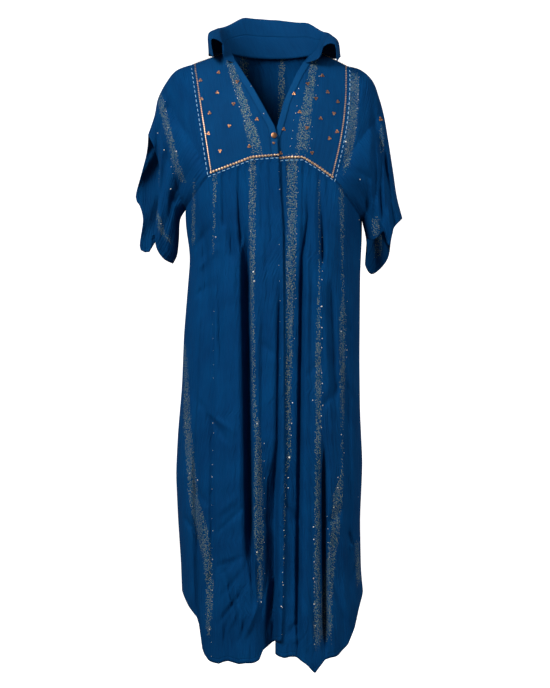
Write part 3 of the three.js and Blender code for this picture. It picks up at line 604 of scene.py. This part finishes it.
def front_skirt_grid(half, rows=235):
    top = skirt_top(half, "front")
    top += [yoke_point(half, 1, j / YOKE_COLS) for j in range(1, YOKE_COLS + 1)]
    x0, x1 = half["armpit"][0], top[-1].x

    def at(i, j):
        across = (top[j].x - x0) / (x1 - x0)
        return skirt_point(half, "front", top[j], across, i / rows, (j - ARMPIT_STEPS) / YOKE_COLS)

    return make_grid(rows, len(top) - 1, at)


def neck_point(angle):
    cos = math.cos(angle)
    z = lerp(NECK["back_z"], NECK["side_z"], cos * cos)
    return Vector((MIDDLE_X - NECK["half_width"] * cos, NECK["back_depth"] * math.sin(angle), z))


def upper_back_grid(rows=50):
    seam_cols = BACK_COLS * 4 // 26

    def at(i, j):
        u = j / BACK_COLS
        r = i / rows
        t = 1 - math.cos(r * HALF_PI)
        if j in (0, BACK_COLS):
            x, z = yoke_side(RIGHT if j == 0 else LEFT, r)
            return Vector((x, chest_depth(x, math.sin(r * HALF_PI), CHEST["back"]), z))
        if seam_cols < j < BACK_COLS - seam_cols:
            top = neck_point(math.pi * (j - seam_cols) / (BACK_COLS - 2 * seam_cols))
        else:
            half, s = (RIGHT, j / seam_cols) if j <= seam_cols else (LEFT, (BACK_COLS - j) / seam_cols)
            (sx, sz), (nx, nz) = half["shoulder"], half["neck"]
            top = Vector((lerp(sx, nx, s), 0, lerp(sz, nz, s)))
        x = lerp(top.x, lerp(yoke_side(RIGHT, r)[0], yoke_side(LEFT, r)[0], u), t)
        z = lerp(top.z, lerp(RIGHT["corner"][1], LEFT["corner"][1], u), t)
        depth = lerp(top.y, chest_depth(x, 1, CHEST["back"]), math.sin(r * HALF_PI))
        middle = math.sin(math.pi * r)
        waves = soft_waves(x, z, WAVE_SEED["back"]) * middle**0.7 * smooth(0, 0.1, u) * smooth(0, 0.1, 1 - u)
        return Vector((x, max(0, depth - 0.7 * waves - 0.6 * crease_depth("back", x, z) * middle), z))

    return make_grid(rows, BACK_COLS, at)


def back_skirt_grid(upper, rows=135):
    right = skirt_top(RIGHT, "back", False)
    left = skirt_top(LEFT, "back", False)[::-1]
    top = [*right, *upper[-1], *left]

    def at(i, j):
        half = RIGHT if top[j].x <= MIDDLE_X else LEFT
        across = (top[j].x - half["armpit"][0]) / (MIDDLE_X - half["armpit"][0])
        return skirt_point(half, "back", top[j], across, i / rows)

    return make_grid(rows, len(top) - 1, at)


# ---- bands and collar ----
def band_grid(half, rows=70, cols=6):
    """The band's outside, raised off the yoke along its neck edge."""

    def at(i, j):
        r = lerp(1 / 3, 1, i / rows)
        t = 1 - math.cos(r * HALF_PI)
        foot_z = half["neck_edge"][-1][0]
        x1 = read(half["neck_edge"], lerp(half["neck"][1], foot_z, t))
        width = BAND_WIDTH / abs(x1 - yoke_side(half, r)[0])
        u = lerp(1 - width, 1, j / cols)
        rounded = 0.5 * (1 - (2 * j / cols - 1) ** 6)
        return yoke_point(half, r, u) + yoke_normal(half, r, u) * (1.2 + rounded)

    return make_grid(rows, cols, at)


def collar_grids(steps=150, stand_rows=10, fall_rows=40):
    def edge(half):
        return [yoke_point(half, i / 9, 1) for i in range(4)]

    back = [neck_point(math.pi * k / 18) for k in range(1, 18)]
    seam = Curve([*edge(RIGHT)[::-1], *back, *edge(LEFT)])
    sections = []
    for k in range(steps + 1):
        at = k / steps
        base = seam.at(at)
        spread = COLLAR_FRONT_SPREAD if base.y < 0 else 1
        sideways = (base.x - MIDDLE_X) / NECK["half_width"] ** 2
        out = Vector((sideways, spread * base.y / NECK["back_depth"] ** 2, 0)).normalized()
        row = [read_soft(COLLAR, at, 0.02, column) for column in range(1, 9)]
        points = [base + out * -0.8 + Vector((0, 0, -3.5))]
        for o, up in zip(row[0::2], row[1::2]):
            points.append(base + out * (o - 0.8) + Vector((0, 0, up)))
        sections.append(Curve(points))

    def at_point(share, k):
        p = sections[k].point(share)
        return p + Vector((0, 0, 0.9 * wave(k / 9, share * 3, 7.7) * smooth(0.2, 0.6, share)))

    stand = make_grid(stand_rows, steps, lambda i, k: at_point(0.25 * i / stand_rows, k))
    fall = make_grid(fall_rows, steps, lambda i, k: at_point(0.25 + 0.75 * i / fall_rows, k))
    return stand, fall


# ---- from grids to cloth ----
def stripe_strength(face, x, z):
    """1 in the middle of a lurex stripe, 0 outside."""
    best = 0
    for rows in STRIPES[face]:
        if rows[-1][0] - 12 <= z <= rows[0][0] + 12:
            off = abs(x - read(rows, z)) - read(rows, z, 2)
            foot = smooth(rows[-1][0] - 12, rows[-1][0] + 25, z)
            ends = foot * (1 - smooth(rows[0][0] - 6, rows[0][0] + 12, z))
            best = max(best, ends * (1 - smooth(-4, 3.5, off)))
    return best


def looks_back(grid):
    """Above 0 where a grid's faces, taken as it runs, look to the back on the whole."""
    total = Vector()
    for i in range(0, len(grid) - 4, 4):
        for j in range(0, len(grid[0]) - 4, 4):
            total += (grid[i + 4][j] - grid[i][j]).cross(grid[i][j + 4] - grid[i][j])
    return total.y


def new_piece(name, points, faces, material):
    mesh = bpy.data.meshes.new(name)
    mesh.from_pydata(points, [], faces)
    mesh.polygons.foreach_set("use_smooth", [True] * len(mesh.polygons))
    mesh.materials.append(material)
    piece = bpy.data.objects.new(name, mesh)
    bpy.context.collection.objects.link(piece)
    return piece


def apply_modifiers(piece):
    bpy.ops.object.select_all(action="DESELECT")
    piece.select_set(True)
    bpy.context.view_layer.objects.active = piece
    for modifier in list(piece.modifiers):
        bpy.ops.object.modifier_apply(modifier=modifier.name)


def finish_piece(piece):
    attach(piece, "root")


def make_cloth(node, grids, face, material, edge_rows=()):
    """One panel: its grids are sewn together, turned outwards and given the cloth's thickness.

    The grids numbered in edge_rows end in a turned edge. The collar has no face, so it keeps the way its grids
    run and has no stripes.
    """
    points, faces, threads, edges, lurex = [], [], [], [], []
    for number, grid in enumerate(grids):
        first = len(points)
        rows, cols = len(grid), len(grid[0])
        downs = [0.0] * cols
        column_down = []
        for i in range(rows):
            if i:
                downs = [d + (grid[i][j] - grid[i - 1][j]).length for j, d in enumerate(downs)]
            column_down.append(downs)
        for i in range(rows):
            along = 0.0
            for j in range(cols):
                p = grid[i][j]
                if j:
                    along += (p - grid[i][j - 1]).length
                y = OUT[face] * max(PLANE_INSET, OUT[face] * p.y) if face else p.y
                points.append((p.x * MM, y * MM, p.z * MM))
                threads.append((along, column_down[i][j], number * 50))
                edges.append(column_down[-1][j] - column_down[i][j] if number in edge_rows else NO_EDGE)
                lurex.append(stripe_strength(face, p.x, p.z) if face else 0)
        turned = face and OUT[face] * looks_back(grid) < 0
        for i in range(rows - 1):
            for j in range(cols - 1):
                a = first + i * cols + j
                quad = (a, a + cols, a + cols + 1, a + 1)
                faces.append(quad[::-1] if turned else quad)
    panel = new_piece(node + "_cloth", points, faces, material)
    mesh = panel.data
    thread = mesh.attributes.new("thread", "FLOAT_VECTOR", "POINT")
    thread.data.foreach_set("vector", [v * MM for t in threads for v in t])
    mesh.attributes.new("edge", "FLOAT", "POINT").data.foreach_set("value", [e * MM for e in edges])
    mesh.attributes.new("lurex", "FLOAT", "POINT").data.foreach_set("value", lurex)
    shell = bmesh.new()
    shell.from_mesh(mesh)
    bmesh.ops.remove_doubles(shell, verts=shell.verts, dist=WELD * MM)
    shell.to_mesh(mesh)
    shell.free()
    wall = panel.modifiers.new("cloth", "SOLIDIFY")
    wall.thickness = CLOTH * MM
    wall.offset = -1
    apply_modifiers(panel)
    finish_piece(panel)
    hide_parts(node)
    return panel


# ---- trims, modelled once at 1 unit in size and sewn on many times ----
def take_shape(trim):
    """The points and faces of a modelled trim, which then goes."""
    points = [v.co.copy() for v in trim.data.vertices]
    faces = [tuple(p.vertices) for p in trim.data.polygons]
    bpy.data.objects.remove(trim)
    return points, faces


def inset_ends(trim, is_end, steps):
    """Insets the faces whose normal passes the test, by a width and a height at each step."""
    for polygon in trim.data.polygons:
        polygon.select = is_end(polygon.normal)
    bpy.ops.object.mode_set(mode="EDIT")
    for width, height in steps:
        bpy.ops.mesh.inset(thickness=width, depth=height)
    bpy.ops.object.mode_set(mode="OBJECT")


def round_bead():
    """A round bead of radius 1, a little flat, with a dimple where its thread goes through."""
    bpy.ops.object.select_all(action="DESELECT")
    bpy.ops.mesh.primitive_uv_sphere_add(segments=12, ring_count=7, radius=1)
    bead = bpy.context.object
    bpy.ops.object.mode_set(mode="EDIT")
    bpy.ops.mesh.select_all(action="SELECT")
    bpy.ops.transform.resize(value=(1, 1, 0.62))
    bpy.ops.object.mode_set(mode="OBJECT")
    for vertex in bead.data.vertices:
        if math.hypot(vertex.co.x, vertex.co.y) < 0.01:
            vertex.co.z *= 0.45
    return take_shape(bead)


def thread_stitch():
    """One stitch of thread, about 1 long and 1 thick, narrower towards its ends."""
    bpy.ops.object.select_all(action="DESELECT")
    bpy.ops.mesh.primitive_cylinder_add(vertices=7, radius=0.5, depth=0.7, rotation=(0, HALF_PI, 0))
    stitch = bpy.context.object
    bpy.ops.object.transform_apply(location=False, rotation=True, scale=False)
    bpy.ops.object.mode_set(mode="EDIT")
    bpy.ops.mesh.select_all(action="DESELECT")
    bpy.ops.object.mode_set(mode="OBJECT")
    inset_ends(stitch, lambda normal: abs(normal.x) > 0.9, [(0.16, 0.13)])
    return take_shape(stitch)


def cup_sequin():
    """A small cupped disc of radius 1."""
    bpy.ops.object.select_all(action="DESELECT")
    bpy.ops.mesh.primitive_cylinder_add(vertices=10, radius=1, depth=0.16)
    sequin = bpy.context.object
    inset_ends(sequin, lambda normal: normal.z > 0.9, [(0.5, -0.12)])
    return take_shape(sequin)


def domed_button():
    """A domed metal button of radius 0.9 with a rolled rim."""
    bpy.ops.object.select_all(action="DESELECT")
    bpy.ops.mesh.primitive_cylinder_add(vertices=32, radius=0.9, depth=0.3)
    button = bpy.context.object
    rim_and_dome = [(0.06, 0.02), (0.06, -0.06), (0.12, 0.14), (0.2, 0.12), (0.26, 0.07)]
    inset_ends(button, lambda normal: normal.z > 0.9, rim_and_dome)
    rounded = button.modifiers.new("rounded", "BEVEL")
    rounded.width = 0.03
    rounded.segments = 2
    rounded.limit_method = "ANGLE"
    apply_modifiers(button)
    return take_shape(button)


def sew_on(name, shape, places, material):
    """Copies of one trim as one mesh. A place is a point, the way out, the way along and three sizes."""
    shape_points, shape_faces = shape
    points, faces = [], []
    for point, out, along, sizes in places:
        along = (along - out * along.dot(out)).normalized()
        turn = Matrix((along, out.cross(along), out)).transposed()
        first = len(points)
        for p in shape_points:
            points.append((point + turn @ Vector((p.x * sizes[0], p.y * sizes[1], p.z * sizes[2]))) * MM)
        faces += [tuple(first + i for i in f) for f in shape_faces]
    trim = new_piece(name, points, faces, material)
    finish_piece(trim)
    return trim


def cloth_finder(pieces):
    """Finds the outside of these pieces as seen from the front: a point and the way out of the cloth."""
    points, faces = [], []
    for piece in pieces:
        first = len(points)
        points += [v.co / MM for v in piece.data.vertices]
        faces += [tuple(first + i for i in p.vertices) for p in piece.data.polygons]
    tree = BVHTree.FromPolygons(points, faces)

    def find(x, z):
        point, normal, _, _ = tree.ray_cast(Vector((x, -600, z)), Vector((0, 1, 0)))
        if point is None:
            return None
        return point, (normal if normal.y < 0 else -normal)

    return find


def along_path(path, pitch, start=0.0):
    """Places at an even pitch along a path of (x, z) points, each with the way the path runs."""
    rest = start
    for (x0, z0), (x1, z1) in zip(path, path[1:]):
        long = math.hypot(x1 - x0, z1 - z0)
        while rest <= long:
            t = rest / long
            yield lerp(x0, x1, t), lerp(z0, z1, t), Vector(((x1 - x0) / long, 0, (z1 - z0) / long))
            rest += pitch
        rest -= long


def sew_along(find, path, pitch, lift, sizes, start=0.0):
    places = []
    for x, z, along in along_path(path, pitch, start):
        found = find(x, z)
        if found:
            point, out = found
            places.append((point + out * lift, out, along, sizes))
    return places


# ---- materials ----
def colour(code):
    """An sRGB hex colour as linear values."""
    values = [int(code[i : i + 2], 16) / 255 for i in (1, 3, 5)]
    return (*[v / 12.92 if v <= 0.04045 else ((v + 0.055) / 1.055) ** 2.4 for v in values], 1)


def add(tree, kind, inputs=None, **settings):
    """Adds a node with its settings, and sets or links its inputs. A node stands for its output in use."""
    made = tree.nodes.new("ShaderNode" + kind)
    for name, value in settings.items():
        setattr(made, name, value)
    for name, value in (inputs or {}).items():
        if isinstance(value, bpy.types.Node):
            value = next(socket for socket in value.outputs if socket.enabled)
        if isinstance(value, bpy.types.NodeSocket):
            tree.links.new(value, made.inputs[name])
        else:
            made.inputs[name].default_value = value
    return made


def new_material(name):
    material = bpy.data.materials.new(name)
    material.use_nodes = True
    material.node_tree.nodes.clear()
    return material, material.node_tree


def voile_with_lurex(name, light, dark, crushed):
    # Cotton voile dyed deep blue: a soft, slightly crushed cloth with a faint sheen, and stripes where a gold
    # lurex thread comes up between the blue ones as rows of dull sparks.
    material, tree = new_material(name)
    thread = add(tree, "Attribute", attribute_name="thread").outputs["Vector"]
    lurex = add(tree, "Attribute", attribute_name="lurex").outputs["Fac"]
    edge = add(tree, "Attribute", attribute_name="edge").outputs["Fac"]
    # uneven dye, in clouds about 60 mm across and streaks along the warp
    clouds = add(tree, "TexNoise", {"Vector": thread, "Scale": 16.0, "Detail": 3.0})
    streak_place = add(tree, "Mapping", {"Vector": thread, "Scale": (900.0, 24.0, 1.0)})
    streaks = add(tree, "TexNoise", {"Vector": streak_place, "Scale": 1.0, "Detail": 2.0})
    dye = add(tree, "Math", {0: clouds, 1: streaks}, operation="ADD")
    dye_range = add(tree, "MapRange", {"Value": dye, "From Min": 0.7, "From Max": 1.3})
    blue = add(tree, "Mix", {0: dye_range, 6: colour(dark), 7: colour(light)}, data_type="RGBA")
    # lurex floats, 2.7 mm apart across and 2.4 mm down, drawn a little coarse so that they show
    dot_place = add(tree, "Mapping", {"Vector": thread, "Scale": (1 / 0.0027, 1 / 0.0024, 1.0)})
    dot_spread = {"Vector": dot_place, "Scale": 1.0, "Randomness": 0.6}
    dots = add(tree, "TexVoronoi", dot_spread, voronoi_dimensions="2D")
    near = add(tree, "MapRange", {"Value": dots, "From Min": 0.37, "From Max": 0.17})
    kept = add(tree, "SeparateColor", {"Color": dots.outputs["Color"]})
    chance = add(tree, "Math", {0: lurex, 1: kept.outputs["Red"]}, operation="SUBTRACT")
    shown = add(tree, "MapRange", {"Value": chance, "From Min": 0.14, "From Max": 0.4})
    spark = add(tree, "Math", {0: near, 1: shown}, operation="MULTIPLY")
    golds = {0: kept.outputs["Green"], 6: colour("#386865"), 7: colour("#9CA078")}
    gold = add(tree, "Mix", golds, data_type="RGBA")
    tone = add(tree, "Mix", {0: spark, 6: blue, 7: gold}, data_type="RGBA")
    metal = add(tree, "Math", {0: spark, 1: 0.2}, operation="MULTIPLY")
    rough = add(tree, "MapRange", {"Value": spark, "To Min": 0.78, "To Max": 0.5})
    # crushed creases about 5 mm across and 70 mm long, then the weave, drawn at 1.1 mm so that it shows
    crush_place = add(tree, "Mapping", {"Vector": thread, "Scale": (190.0, 14.0, 1.0)})
    crush = add(tree, "TexNoise", {"Vector": crush_place, "Scale": 1.0, "Detail": 4.0})
    soft = add(tree, "Bump", {"Height": crush, "Strength": crushed, "Distance": 0.0045})
    weave_place = add(tree, "Mapping", {"Vector": thread, "Scale": (900.0, 900.0, 1.0)})
    weave = add(tree, "TexNoise", {"Vector": weave_place, "Scale": 1.0, "Detail": 1.0})
    relief = {"Height": weave, "Strength": 0.3, "Distance": 0.0004, "Normal": soft}
    woven = add(tree, "Bump", relief)
    # the turned hem: a groove of stitching 9 mm from the edge
    off = add(tree, "Math", {0: edge, 1: 0.009}, operation="SUBTRACT")
    off_size = add(tree, "Math", {0: off}, operation="ABSOLUTE")
    hem = add(tree, "MapRange", {"Value": off_size, "From Min": 0.0, "From Max": 0.0016})
    relief = {"Height": hem, "Strength": 0.8, "Distance": 0.0007, "Normal": woven}
    hemmed = add(tree, "Bump", relief)
    finish = {
        "Base Color": tone, "Metallic": metal, "Roughness": rough, "Normal": hemmed, "Sheen Weight": 0.04,
        "Sheen Roughness": 0.5, "Sheen Tint": colour("#0A5FA8"), "Specular IOR Level": 0.03,
    }
    shader = add(tree, "BsdfPrincipled", finish)
    add(tree, "OutputMaterial", {"Surface": shader})
    return material


def copper_bead(name, dark, light):
    # Copper-coloured metal, cast and tumbled: warm, bright on top, browner between the high spots.
    material, tree = new_material(name)
    place = add(tree, "TexCoord").outputs["Object"]
    spots = add(tree, "TexNoise", {"Vector": place, "Scale": 420.0, "Detail": 2.0})
    tone = add(tree, "Mix", {0: spots, 6: colour(dark), 7: colour(light)}, data_type="RGBA")
    rough = add(tree, "MapRange", {"Value": spots, "To Min": 0.22, "To Max": 0.45})
    dents = add(tree, "Bump", {"Height": spots, "Strength": 0.3, "Distance": 0.0004})
    finish = {"Base Color": tone, "Metallic": 1.0, "Roughness": rough, "Normal": dents}
    shader = add(tree, "BsdfPrincipled", finish)
    add(tree, "OutputMaterial", {"Surface": shader})
    return material


def pale_thread():
    # Thick pale blue cotton thread: matt and twisted, so that its light and dark parts alternate; they are
    # painted shade in the grooves between the plies and a painted highlight on the plies' ridges.
    material, tree = new_material("pale cotton thread")
    place = add(tree, "TexCoord").outputs["Object"]
    twist_ridges_and_shade = add(tree, "TexNoise", {"Vector": place, "Scale": 1500.0, "Detail": 1.0})
    # painted shade and highlight: the colour is darker where the ridges' bump is low and lighter where it is
    # high
    tones = {0: twist_ridges_and_shade, 6: colour("#5E9CC6"), 7: colour("#B8DDF2")}
    tone = add(tree, "Mix", tones, data_type="RGBA")
    ridge = add(tree, "Bump", {"Height": twist_ridges_and_shade, "Strength": 0.4, "Distance": 0.0002})
    shader = add(tree, "BsdfPrincipled", {"Base Color": tone, "Roughness": 0.8, "Normal": ridge})
    add(tree, "OutputMaterial", {"Surface": shader})
    return material


def silver_sequin():
    # Pearly silvered plastic sequins: pale and smooth, some a touch warmer.
    material, tree = new_material("silvered sequin")
    place = add(tree, "TexCoord").outputs["Object"]
    warm = add(tree, "TexNoise", {"Vector": place, "Scale": 30.0, "Detail": 0.0})
    tones = {0: warm, 6: colour("#FFFFFF"), 7: colour("#E9DFC4")}
    tone = add(tree, "Mix", tones, data_type="RGBA")
    finish = {"Base Color": tone, "Metallic": 0.25, "Roughness": 0.3}
    shader = add(tree, "BsdfPrincipled", finish)
    add(tree, "OutputMaterial", {"Surface": shader})
    return material


def studio_white(name, glow):
    # Matt white studio paper lit from behind, faintly uneven.
    material, tree = new_material(name)
    place = add(tree, "TexCoord").outputs["Object"]
    patches = add(tree, "TexNoise", {"Vector": place, "Scale": 1.2, "Detail": 1.0})
    tones = {0: patches, 6: colour("#F5F5F5"), 7: colour("#FAFAFA")}
    tone = add(tree, "Mix", tones, data_type="RGBA")
    finish = {"Base Color": tone, "Roughness": 0.9, "Emission Color": WHITE, "Emission Strength": glow}
    shader = add(tree, "BsdfPrincipled", finish)
    add(tree, "OutputMaterial", {"Surface": shader})
    return material


WHITE = (1, 1, 1, 1)
cloth = voile_with_lurex("crushed cotton voile", "#023A68", "#022E58", 0.85)
yoke_cloth = voile_with_lurex("lined cotton voile", "#053A66", "#043058", 0.35)
band_cloth = voile_with_lurex("folded voile band", "#083F6B", "#063660", 0.25)
copper = copper_bead("tumbled copper", "#9C6B4A", "#E6CBA8")
worn_copper = copper_bead("worn copper", "#6E452C", "#C08E68")
pale = pale_thread()

# ---- the garment ----
fronts, yokes, bands = {}, {}, {}
for key, half in HALVES.items():
    grids = [sleeve_grid(half, "front"), front_skirt_grid(half)]
    fronts[key] = make_cloth("front_" + key, grids, "front", cloth, (0, 1))
upper_back = upper_back_grid()
grids = [upper_back, sleeve_grid(RIGHT, "back"), sleeve_grid(LEFT, "back"), back_skirt_grid(upper_back)]
back = make_cloth("back", grids, "back", cloth, (1, 2, 3))
for key, half in HALVES.items():
    yokes[key] = make_cloth("yoke_" + key, [yoke_grid(half)], "front", yoke_cloth)
for key, half in HALVES.items():
    bands[key] = make_cloth("band_" + key, [band_grid(half)], "front", band_cloth)
stand_grid, fall_grid = collar_grids()
collar_stand = make_cloth("collar_stand", [stand_grid], None, yoke_cloth)
collar_fall = make_cloth("collar_fall", [fall_grid], None, yoke_cloth, (0,))

# ---- trims ----
# Pitch along the seam, how far off the cloth, the size along, across and out, and where the first one is.
SIDE_BEADS = {"pitch": 3.7, "lift": 0.7, "sizes": (1.5, 1.5, 1.3)}
SHOULDER_BEADS = {"pitch": 3.7, "lift": 0.7, "sizes": (1.4, 1.4, 1.2)}
HEM_BEADS = {"pitch": 5.9, "lift": 0.9, "sizes": (2.7, 2.7, 2.2), "start": 1.0}
STITCHES = {"pitch": 9.8, "lift": 0.15, "sizes": (5.8, 0.9, 0.8), "start": 2.0}
SPRIG_BEAD, SPRIG_RADIUS = (1.9, 1.9, 1.7), 2.2
ODD_BEAD = (2.6, 2.6, 2.1)
BUTTON = (4.6, 4.6, 4.6)
SIDE_BEADS_IN, HEM_BEADS_UP = 2.2, 3.2  # from the yoke's seams to the middle of the beads
STITCH_OFF = 5.6  # from the yoke's side seam, and from the hem beads, to the stitches
UNDER_X = 17  # the left half's trim stops here, where the right half lies over it
SEQUINS_KEPT = 0.75  # some of the small ones are lost
ACROSS = Vector((1, 0, 0))

find = cloth_finder([*fronts.values(), *yokes.values(), *bands.values()])
bead, stitch, sequin = round_bead(), thread_stitch(), cup_sequin()
bead_pieces, sprig_pieces, stitch_pieces = {}, {}, {}
for key, half in HALVES.items():
    side = half["side"]
    sides = [yoke_side(half, 0.1 + 0.9 * i / 60) for i in range(61)]
    side_path = [(x - side * SIDE_BEADS_IN, z) for x, z in sides[:-1]]
    hem_path = [(x, z + HEM_BEADS_UP) for x, z in sorted(half["yoke_hem"], key=lambda p: -p[0] * side)]
    top_path = [(p.x, p.z) for p in (yoke_point(half, 0.07, 0.03 + 0.88 * i / 40) for i in range(41))]
    places = sew_along(find, side_path, **SIDE_BEADS)
    places += sew_along(find, top_path, **SHOULDER_BEADS)
    places += sew_along(find, hem_path, **HEM_BEADS)
    places = [place for place in places if side < 0 or place[0].x > UNDER_X]
    bead_pieces[key] = sew_on("beads_" + key, bead, places, copper)
    places = []
    for number, (x, z) in enumerate(SPRIGS[key]):
        lean = 0.5 * wave(number * 1.7, side, 0.3)
        for k in range(3):
            angle = lean + HALF_PI + k * 2 * math.pi / 3 + (math.pi if number % 3 == 1 else 0)
            found = find(x + SPRIG_RADIUS * math.cos(angle), z + SPRIG_RADIUS * math.sin(angle))
            if found:
                point, out = found
                tip = Vector((0.3 * wave(number, k, 1.5), 0, 0.3 * wave(k, number, 6.5)))
                places.append((point + out * 0.7, (out + tip).normalized(), ACROSS, SPRIG_BEAD))
    for x, z in ODD_BEADS[key]:
        point, out = find(x, z)
        places.append((point + out * 0.9, out, ACROSS, ODD_BEAD))
    sprig_pieces[key] = sew_on("sprigs_" + key, bead, places, worn_copper)
    # down the side, round the corner and along the hem
    corner_x, corner_z = half["corner"]
    stitched = [(x + side * STITCH_OFF, z) for x, z in sides[:-1] if z > corner_z + 4]
    stitched.append((corner_x + side * STITCH_OFF * 0.8, corner_z - STITCH_OFF * 0.9))
    stitched += [(x, z - STITCH_OFF) for x, z in hem_path[1:]]
    places = sew_along(find, stitched, **STITCHES)
    places = [place for place in places if side < 0 or place[0].x > UNDER_X + 4]
    stitch_pieces[key] = sew_on("running_stitch_" + key, stitch, places, pale)

chance = random.Random(11)
dotted = list(SEQUINS)
for x0, z0, x1, z1, pitch, size in SEQUIN_LINES:
    for x, z, _ in along_path([(x0, z0), (x1, z1)], pitch, 3):
        if chance.random() < SEQUINS_KEPT:
            aside, down = chance.uniform(-1.5, 1.5), chance.uniform(-4, 4)
            dotted.append((x + aside, z + down, size * chance.uniform(0.85, 1.25)))
places = []
for x, z, size in dotted:
    found = find(x, z)
    if found:
        point, out = found
        lean = Vector((chance.uniform(-0.3, 0.3), 0, chance.uniform(-0.3, 0.3)))
        places.append((point + out * 0.9, (out + lean).normalized(), Vector((1, 0, 0.2)), (size, size, size)))
sequins = sew_on("sequins", sequin, places, silver_sequin())

low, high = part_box("button")
centre = (Vector(low) + Vector(high)) / 2 / MM
point, out = find(centre.x, centre.z)
button = sew_on("domed_button", domed_button(), [(point + out, out, ACROSS, BUTTON)], worn_copper)
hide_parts("button")

# ---- floor, light and camera, in metres ----
FLOOR_Z = -1.42
SWEEP_RADIUS = 9.0
BACKDROP_HEIGHT = 14
GLOW = {"floor": 0.9, "backdrop": 1.0}
LIT_POINT = Vector((0, 0, -0.4))

bpy.ops.object.select_all(action="DESELECT")
bpy.ops.mesh.primitive_circle_add(vertices=96, radius=SWEEP_RADIUS, fill_type="NGON", location=(0, 0, FLOOR_Z))
floor = bpy.context.object
bpy.ops.mesh.primitive_cylinder_add(
    vertices=96, radius=SWEEP_RADIUS, depth=BACKDROP_HEIGHT, end_fill_type="NOTHING",
    location=(0, 0, FLOOR_Z + BACKDROP_HEIGHT / 2),
)
backdrop = bpy.context.object
for piece, name in ((floor, "floor"), (backdrop, "backdrop")):
    piece.name = name
    piece.data.materials.append(studio_white("white studio " + name, GLOW[name]))
    # the camera sees them, and they leave the light on the cloth alone
    piece.visible_diffuse = False
    piece.visible_glossy = False
    piece.visible_shadow = False

scene = bpy.context.scene
scene.world = bpy.data.worlds.new("studio")
scene.world.use_nodes = True
surround = scene.world.node_tree.nodes["Background"]
surround.inputs["Color"].default_value = WHITE
surround.inputs["Strength"].default_value = 0.21
scene.view_settings.view_transform = "Standard"


def soft_light(name, place, size, power):
    """A rectangle of light turned to the middle of the garment."""
    data = bpy.data.lights.new(name, "AREA")
    data.shape = "RECTANGLE"
    data.size, data.size_y = size
    data.energy = power
    light = bpy.data.objects.new(name, data)
    bpy.context.collection.objects.link(light)
    light.location = place
    light.rotation_euler = (LIT_POINT - Vector(place)).to_track_quat("-Z", "Y").to_euler()


soft_light("key", (-1.5, -2.1, 1.1), (0.8, 1.1), 104)
soft_light("fill", (3.0, -1.9, 0.3), (1.0, 1.6), 60)

camera_data = bpy.data.cameras.new("camera")
camera_data.sensor_width = 36
camera_data.lens = 104.65
camera_data.clip_end = 60
camera = bpy.data.objects.new("camera", camera_data)
bpy.context.collection.objects.link(camera)
camera.location = (0.010, -4.0, -0.568)
camera.rotation_euler = (HALF_PI, 0, 0)
scene.camera = camera
